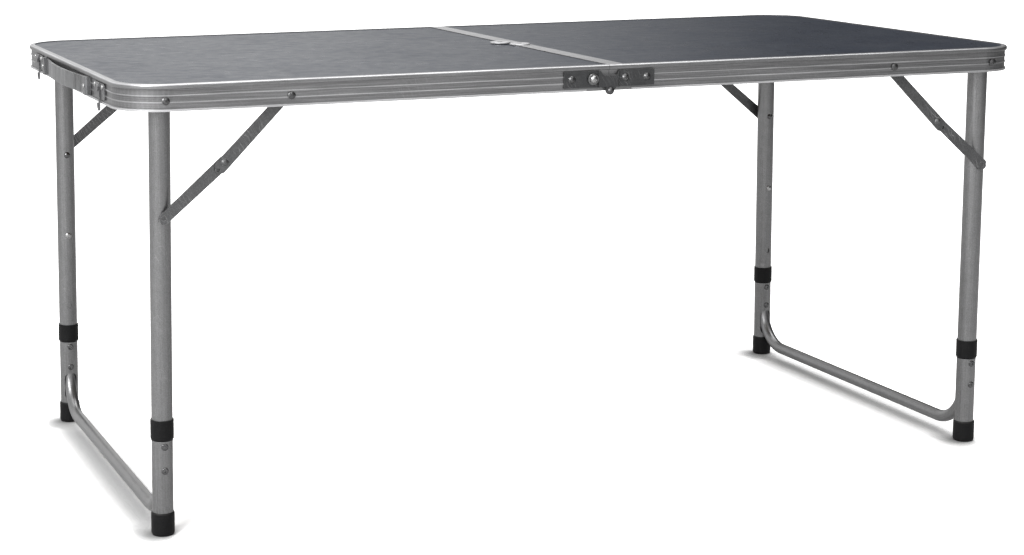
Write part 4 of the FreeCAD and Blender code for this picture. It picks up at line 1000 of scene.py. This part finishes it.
class TABLE_OT_bend_bars(bpy.types.Operator):
    """Bend the bars that join the feet of each pair of legs"""
    bl_idname = "table.bend_bars"
    bl_label = "Bend Bars"

    def execute(self, context):
        """Models one bar upright, and leans a copy of it at each end of the table."""
        settings = context.scene.table_lower_legs
        upright = self.model_bar(settings)
        for side in SIDES:
            bar = copy_piece(upright, f"{side}_bent_bar", lean_with_legs(side, settings))
            place_piece(bar, f"{side}_lower_legs", made_finish("Satin Bent Bar"))
            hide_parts(f"{side}_u_bar")
        bpy.data.objects.remove(upright)
        return {"FINISHED"}

    def model_bar(self, settings):
        """Draws a ring down the front arm, round the bend and to the middle, and mirrors it."""
        deselect_everything()
        bend, height, reach = settings.bend_radius, settings.bar_height, settings.leg_reach
        inset = reach - settings.bar_offset
        bpy.ops.mesh.primitive_circle_add(vertices=48, radius=settings.arm_radius, fill_type="NOTHING",
                                          location=(0.0, -reach, settings.arm_top))
        bar = bpy.context.active_object
        bar.name = "upright_bent_bar"
        with editing(bar):
            bpy.ops.mesh.select_mode(type="EDGE")
            bpy.ops.mesh.select_all(action="SELECT")
            draw_ring_along(0.0, 0.0, settings.swage_top - settings.arm_top)
            draw_ring_along(0.0, settings.bar_offset, settings.swage_bottom - settings.swage_top)
            share = settings.bar_radius / settings.arm_radius
            bpy.ops.transform.resize(value=(share, share, 1.0),
                                     center_override=(0.0, -inset, settings.swage_bottom))
            draw_ring_along(0.0, 0.0, height + bend - settings.swage_bottom)
            bpy.ops.mesh.spin(steps=24, angle=math.pi / 2, center=(0.0, bend - inset, height + bend),
                              axis=(-1.0, 0.0, 0.0))
            draw_ring_along(0.0, inset - bend, 0.0)
        settle(bar)
        lowest = min(vertex.co.z for vertex in bar.data.vertices)
        if abs(lowest - (height - settings.bar_radius)) > BEND_TOLERANCE:
            raise RuntimeError("the bar didn't bend towards the floor")
        apply_modifier(bar, "MIRROR", use_axis=(False, True, False), use_clip=True)
        close_and_thicken(bar, settings.wall)
        drill(bar, (0.0, 0.0, settings.hole_height), settings.hole_radius, reach * 4)
        settle(bar)
        return bar


class TABLE_OT_slot_foot_tubes(bpy.types.Operator):
    """Make the short foot tubes with the slot that the bent bar leaves through"""
    bl_idname = "table.slot_foot_tubes"
    bl_label = "Slot Foot Tubes"

    def execute(self, context):
        """Models one tube, and places a copy at each foot."""
        settings = context.scene.table_lower_legs
        upright = self.model_tube(settings)
        for side in SIDES:
            pair = []
            for corner, way in CORNERS.items():
                turn = Matrix.Rotation(0.0 if way < 0 else math.pi, 4, "Z")
                place = Matrix.Translation((0.0, way * settings.leg_reach, 0.0)) @ turn
                pair.append(copy_piece(upright, f"{corner}_{side}_foot_tube",
                                       lean_with_legs(side, settings) @ place))
            take_up(pair[0])
            pair[1].select_set(True)
            bpy.ops.object.join()
            pair[0].name = f"{side}_slotted_foot_tubes"
            pair[0].data.name = pair[0].name
            place_piece(pair[0], f"{side}_lower_legs", made_finish("Satin Leg Tube"))
            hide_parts(f"{side}_foot_tubes")
        bpy.data.objects.remove(upright)
        return {"FINISHED"}

    def model_tube(self, settings):
        """A tube standing on the middle line, slotted on the side that faces the other leg."""
        deselect_everything()
        height = settings.tube_top - settings.tube_bottom
        bpy.ops.mesh.primitive_cylinder_add(vertices=64, radius=settings.tube_radius, depth=height,
                                            end_fill_type="NOTHING",
                                            location=(0.0, 0.0, settings.tube_bottom + height / 2))
        tube = bpy.context.active_object
        tube.name = "upright_foot_tube"
        settle(tube)
        close_and_thicken(tube, settings.tube_wall)
        deselect_everything()
        low = settings.slot_bottom + settings.slot_radius
        high = settings.slot_top - settings.slot_radius
        bpy.ops.mesh.primitive_cylinder_add(vertices=48, radius=settings.slot_radius,
                                            depth=settings.tube_radius * 2,
                                            location=(0.0, settings.tube_radius, low),
                                            rotation=(math.pi / 2, 0.0, 0.0))
        blade = bpy.context.active_object
        settle(blade)
        with editing(blade):
            select_parts(blade, "VERT", lambda vertex: vertex.co.z > low + SAME_PLACE)
            bpy.ops.transform.translate(value=(0.0, 0.0, high - low))
        cut_away(tube, blade)
        settle(tube)
        return tube


class TABLE_OT_narrow_stays(bpy.types.Operator):
    """Make the flat stays narrower than the frame's, with the same holes and rivets"""
    bl_idname = "table.narrow_stays"
    bl_label = "Narrow Stays"

    def execute(self, context):
        """Makes one new stay from each stay of the frame."""
        settings = context.scene.table_steel
        for side, corner, label in product(SIDES, CORNERS, ("upper", "lower")):
            node = f"{corner}_{side}_{label}_stay"
            stay = self.narrow(frame["nodes"][node], f"{corner}_{side}_{label}_flat_stay",
                               settings.stay_width)
            place_piece(stay, f"{corner}_{side}_{label}_link",
                        steel_finish("Zinc Stay", settings))
            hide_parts(node)
        return {"FINISHED"}

    def narrow(self, node, name, width):
        """Copies a stay, and draws its outline in towards its middle line."""
        mesh = node.data.copy()
        mesh.name = name
        stay = bpy.data.objects.new(name, mesh)
        bpy.context.scene.collection.objects.link(stay)
        with editing(stay):
            merge_doubles()
        bpy.ops.mesh.customdata_custom_splitnormals_clear()
        lying, length, old_width = self.find_middle_line(mesh)
        half = old_width / 2

        def on_outline(vertex):
            """Whether a point is on the stay's outline, and not on a hole."""
            from_end = min(vertex.co.x, length - vertex.co.x)
            distance = math.hypot(max(half - from_end, 0.0), vertex.co.z)
            return abs(distance - half) < half * OUTLINE_SHARE

        mesh.transform(lying.inverted())
        with editing(stay):
            select_parts(stay, "VERT", on_outline)
            bpy.ops.transform.resize(value=(1.0, 1.0, width / old_width), center_override=(0.0, 0.0, 0.0))
        mesh.transform(lying)
        settle(stay)
        return stay

    def find_middle_line(self, mesh):
        """The line between a stay's two ends as a placing matrix, with its length and its width."""
        flat = [Vector((vertex.co.x, 0.0, vertex.co.z)) for vertex in mesh.vertices]
        start = max(flat, key=lambda point: (point - flat[0]).length)
        end = max(flat, key=lambda point: (point - start).length)
        along = (end - start).normalized()
        through = Vector((0.0, 1.0, 0.0))
        across = along.cross(through)
        turn = Matrix((along, through, across)).transposed().to_4x4()
        width = max(abs((point - start).dot(across)) for point in flat) * 2
        return Matrix.Translation(start) @ turn, (end - start).length, width


class TABLE_OT_add_foot_rivets(bpy.types.Operator):
    """Add both ends of the two rivets that go through each foot tube and the bar in it"""
    bl_idname = "table.add_foot_rivets"
    bl_label = "Add Foot Rivets"

    def execute(self, context):
        """Adds a head on the outer and on the inner side of each foot tube at each height."""
        settings = context.scene.table_fixings
        legs = context.scene.table_lower_legs
        stand = legs.tube_radius - settings.rivet_sink
        heights = {"upper": settings.upper_foot_rivet, "lower": settings.lower_foot_rivet}
        heads = []
        for side, (corner, outwards), label in product(SIDES, CORNERS.items(), heights):
            axis = lean_with_legs(side, legs) @ Vector((0.0, outwards * legs.leg_reach, heights[label]))
            for face, way in (("outer", outwards), ("inner", -outwards)):
                heads.append((f"{corner}_{side}_{label}_{face}_foot_rivet",
                              axis + Vector((0.0, way * stand, 0.0)), Vector((0.0, way, 0.0)),
                              f"{side}_lower_legs"))
        add_heads(heads, steel_finish("Satin Rivet", context.scene.table_steel),
                  settings.foot_rivet_radius, settings.foot_rivet_crown,
                  dimple=settings.foot_rivet_radius * 0.36)
        return {"FINISHED"}


class TABLE_OT_add_end_rivets(bpy.types.Operator):
    """Add the rivets in the latch plates and the strap's caps"""
    bl_idname = "table.add_end_rivets"
    bl_label = "Add Latch and Strap Rivets"

    def execute(self, context):
        """Adds one rivet to each cap of the strap, and one on each side of each latch hook."""
        settings = context.scene.table_fixings
        cap_low, cap_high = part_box("handle_end_caps")
        strap_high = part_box("handle_strap")[1]
        plate_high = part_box("latch_plates")[1]
        hook_low, hook_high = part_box("rear_latch_hook")
        hook = (hook_low + hook_high) / 2
        over_hook = plate_high.z - settings.latch_rivet_radius * 1.5
        spacing = (plate_high.y - hook.y) * LATCH_RIVET_SPREAD
        plate_face = hook_high.x + HOOK_GAP
        places = (("strap", cap_low.x, (strap_high.y + cap_high.y) / 2, (cap_low.z + cap_high.z) / 2),
                  ("inner_latch", plate_face, hook.y - spacing, over_hook),
                  ("outer_latch", plate_face, hook.y + spacing, over_hook))
        heads = [(f"{corner}_{label}_rivet", Vector((x, way * y, z)), Vector((-1.0, 0.0, 0.0)), "left_half")
                 for (label, x, y, z), (corner, way) in product(places, CORNERS.items())]
        add_heads(heads, steel_finish("Nickel Plating", context.scene.table_steel),
                  settings.latch_rivet_radius, settings.latch_rivet_crown,
                  dimple=settings.latch_rivet_radius * 0.28)
        return {"FINISHED"}


class TABLE_OT_add_disc_screws(bpy.types.Operator):
    """Add the screw through the middle of each seam disc"""
    bl_idname = "table.add_disc_screws"
    bl_label = "Add Disc Screws"

    def execute(self, context):
        """Adds one screw to each disc."""
        settings = context.scene.table_fixings
        heads = []
        for side in SIDES:
            low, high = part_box(f"{side}_seam_disc")
            place = Vector(((low.x + high.x) / 2, (low.y + high.y) / 2, high.z - settings.disc_well))
            heads.append((f"{side}_disc_screw", place, Vector((0.0, 0.0, 1.0)), f"{side}_half"))
        add_heads(heads, steel_finish("Oiled Screw", context.scene.table_steel),
                  settings.disc_screw_radius, settings.disc_screw_crown,
                  cross=settings.disc_screw_radius * 0.36)
        return {"FINISHED"}


class TABLE_OT_set_studio(bpy.types.Operator):
    """Set the pale floor, the white surroundings, the lamps and the camera"""
    bl_idname = "table.set_studio"
    bl_label = "Set Studio"

    def execute(self, context):
        """Builds the studio round the table."""
        settings = context.scene.table_studio
        scene = context.scene
        scene.view_settings.view_transform = "Standard"
        self.set_world(scene, settings)
        self.lay_floor(settings)
        self.hang_lamps(settings)
        self.stand_graded_card()
        self.stand_camera(scene, settings)
        return {"FINISHED"}

    def set_world(self, scene, settings):
        """White where it is seen, soft grey where it lights."""
        world = scene.world or bpy.data.worlds.new("Studio")
        scene.world = world
        world.use_nodes = True
        tree = world.node_tree
        tree.nodes.clear()
        level = remap(tree, background_share(tree), 0.0, 1.0, settings.world_level, 1.0)
        background = add_node(tree, "ShaderNodeBackground", {"Color": grey(1.0), "Strength": level})
        add_node(tree, "ShaderNodeOutputWorld", {"Surface": background.outputs[0]})

    def lay_floor(self, settings):
        """A pale floor that keeps the table's shadow from the lamps, with a painted shadow close to the
        pieces, and is open to a camera below it.
        """
        deselect_everything()
        bpy.ops.mesh.primitive_plane_add(size=settings.floor_size, location=(0.0, 0.0, 0.0))
        floor = bpy.context.active_object
        floor.name = "studio_floor"
        material, tree = empty_material("Pale Floor")
        # Painted shadow: the floor's colour and its lift are darkened close to the pieces, most on their
        # side away from the light.
        painted_shadow_occlusion = add_node(tree, "ShaderNodeAmbientOcclusion",
                        {"Distance": settings.shade_reach, "Normal": join(tree, *TOWARDS_LIGHT)}, samples=8)
        clear = remap(tree, maths(tree, "POWER", painted_shadow_occlusion.outputs["AO"], settings.shade_depth), 0.0, 1.0,
                      settings.shade_floor, 1.0)
        seen = tree.nodes.new("ShaderNodeLightPath").outputs["Is Camera Ray"]
        lift = maths(tree, "MULTIPLY", background_share(tree), settings.floor_lift)
        lift = maths(tree, "MULTIPLY", lift, clear)
        white_with_painted_shadow = remap(tree, seen, 0.0, 1.0, settings.floor_bounce,
                      maths(tree, "MULTIPLY", clear, settings.floor_white))
        matt = add_node(tree, "ShaderNodeBsdfDiffuse", {"Color": white_with_painted_shadow})
        glow = add_node(tree, "ShaderNodeEmission", {"Color": grey(1.0), "Strength": lift})
        both = add_node(tree, "ShaderNodeAddShader", {0: matt.outputs[0], 1: glow.outputs[0]})
        underneath = tree.nodes.new("ShaderNodeNewGeometry").outputs["Backfacing"]
        open_floor = add_node(tree, "ShaderNodeBsdfTransparent")
        sides = add_node(tree, "ShaderNodeMixShader",
                         {"Fac": maths(tree, "MULTIPLY", underneath, seen),
                          1: both.outputs[0], 2: open_floor.outputs[0]})
        add_node(tree, "ShaderNodeOutputMaterial", {"Surface": sides.outputs[0]})
        floor.data.materials.append(material)

    def hang_lamps(self, settings):
        """A large soft lamp at the front left, a small one for the bends, and even light from above."""
        add_lamp("key_lamp", (-3.4, -2.4, 2.6), (0.0, 0.0, 0.4), 2.4, settings.key_power)
        add_lamp("bend_lamp", (-0.3, -3.2, 3.0), (0.0, 0.0, 0.1), 0.7, settings.bend_power)
        sky = bpy.data.lights.new("overhead_light", "SUN")
        sky.energy = settings.sky_strength
        sky.angle = math.radians(50)
        holder = bpy.data.objects.new("overhead_light", sky)
        bpy.context.scene.collection.objects.link(holder)
        holder.rotation_euler = (math.radians(-12), math.radians(8), 0.0)

    def stand_graded_card(self):
        """A curved card behind the right end that is seen only as a reflection, darkest in its middle."""
        deselect_everything()
        bpy.ops.mesh.primitive_cylinder_add(vertices=96, radius=CARD_RADIUS, depth=CARD_HEIGHT,
                                            end_fill_type="NOTHING", location=(0.0, 0.0, CARD_HEIGHT / 2))
        card = bpy.context.active_object
        card.name = "graded_card"

        def off_card(face):
            """Whether a face's bearing, from +Y towards +X, is outside the card."""
            middle = face.calc_center_median()
            return not CARD_START < math.degrees(math.atan2(middle.x, middle.y)) < CARD_END

        with editing(card):
            select_parts(card, "FACE", off_card)
            bpy.ops.mesh.delete(type="FACE")
        material, tree = empty_material("Graded Card")
        x, y, _ = split(tree, tree.nodes.new("ShaderNodeTexCoord").outputs["Object"])
        half_turns = maths(tree, "DIVIDE", maths(tree, "ARCTAN2", x, y), math.pi)
        ramp = add_node(tree, "ShaderNodeValToRGB", {"Fac": half_turns})
        stops = ramp.color_ramp.elements
        while len(stops) < len(CARD_GRADES):
            stops.new(0.5)
        for stop, (bearing, level) in zip(stops, CARD_GRADES):
            stop.position = bearing
            stop.color = grey(level)
        glow = add_node(tree, "ShaderNodeEmission", {"Color": ramp.outputs["Color"], "Strength": 1.0})
        add_node(tree, "ShaderNodeOutputMaterial", {"Surface": glow.outputs[0]})
        card.data.materials.append(material)
        for rays in ("camera", "diffuse", "shadow", "transmission"):
            setattr(card, f"visible_{rays}", False)

    def stand_camera(self, scene, settings):
        """The camera stands low at the front left of the table."""
        lens = bpy.data.cameras.new("table_camera")
        lens.sensor_width = 36.0
        lens.lens = settings.lens
        lens.shift_x, lens.shift_y = CAMERA_SHIFT
        lens.clip_end = 100.0
        camera = bpy.data.objects.new("table_camera", lens)
        scene.collection.objects.link(camera)
        bearing, fall, tilt = CAMERA_BEARING, CAMERA_FALL, CAMERA_TILT
        ahead = Vector((math.sin(bearing) * math.cos(fall), math.cos(bearing) * math.cos(fall),
                        -math.sin(fall)))
        right = Vector((math.cos(bearing), -math.sin(bearing), 0.0))
        down = ahead.cross(right)
        across = math.cos(tilt) * right + math.sin(tilt) * down
        below = -math.sin(tilt) * right + math.cos(tilt) * down
        turn = Matrix((across, -below, -ahead)).transposed()
        camera.matrix_world = Matrix.Translation(CAMERA_PLACE) @ turn.to_4x4()
        scene.camera = camera


# Each group of settings: title, name in the scene, class, and the operators that use it, in running order.
PARTS = (
    ("Rails", "table_rails", RailFinishSettings, (TABLE_OT_finish_rails,)),
    ("Boards", "table_boards", BoardFinishSettings, (TABLE_OT_finish_boards,)),
    ("Tubes", "table_tubes", TubeFinishSettings, (TABLE_OT_finish_tubes,)),
    ("Lower Legs", "table_lower_legs", LowerLegSettings, (TABLE_OT_bend_bars, TABLE_OT_slot_foot_tubes)),
    ("Steel", "table_steel", SteelFinishSettings, (TABLE_OT_finish_steel, TABLE_OT_narrow_stays)),
    ("Strap", "table_strap", StrapFinishSettings, (TABLE_OT_finish_strap,)),
    ("Plastic", "table_plastic", PlasticFinishSettings, (TABLE_OT_finish_plastic,)),
    ("Fixings", "table_fixings", FixingSettings,
     (TABLE_OT_add_foot_rivets, TABLE_OT_add_end_rivets, TABLE_OT_add_disc_screws)),
    ("Studio", "table_studio", StudioSettings, (TABLE_OT_set_studio,)),
)


class TABLE_PT_panel(bpy.types.Panel):
    """Lists the table's settings and operators"""
    bl_idname = "TABLE_PT_panel"
    bl_label = "Folding Table"
    bl_space_type = "VIEW_3D"
    bl_region_type = "UI"
    bl_category = "Folding Table"

    def draw(self, context):
        """Lists each group of settings with the operators that use it."""
        for title, name, settings, operators in PARTS:
            box = self.layout.box()
            box.label(text=title)
            for label in settings.__annotations__:
                box.prop(getattr(context.scene, name), label)
            for operator in operators:
                box.operator(operator.bl_idname)


def register():
    """Registers the settings, the operators and the panel."""
    for _, name, settings, operators in PARTS:
        bpy.utils.register_class(settings)
        setattr(bpy.types.Scene, name, PointerProperty(type=settings))
        for operator in operators:
            bpy.utils.register_class(operator)
    bpy.utils.register_class(TABLE_PT_panel)


def unregister():
    """Removes them again."""
    bpy.utils.unregister_class(TABLE_PT_panel)
    for _, name, settings, operators in reversed(PARTS):
        for operator in reversed(operators):
            bpy.utils.unregister_class(operator)
        delattr(bpy.types.Scene, name)
        bpy.utils.unregister_class(settings)


def main():
    """Finishes the frame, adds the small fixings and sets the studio."""
    register()
    for *_, operators in PARTS:
        for operator in operators:
            group, name = operator.bl_idname.split(".")
            getattr(getattr(bpy.ops, group), name)()


if __name__ == "__main__":
    main()
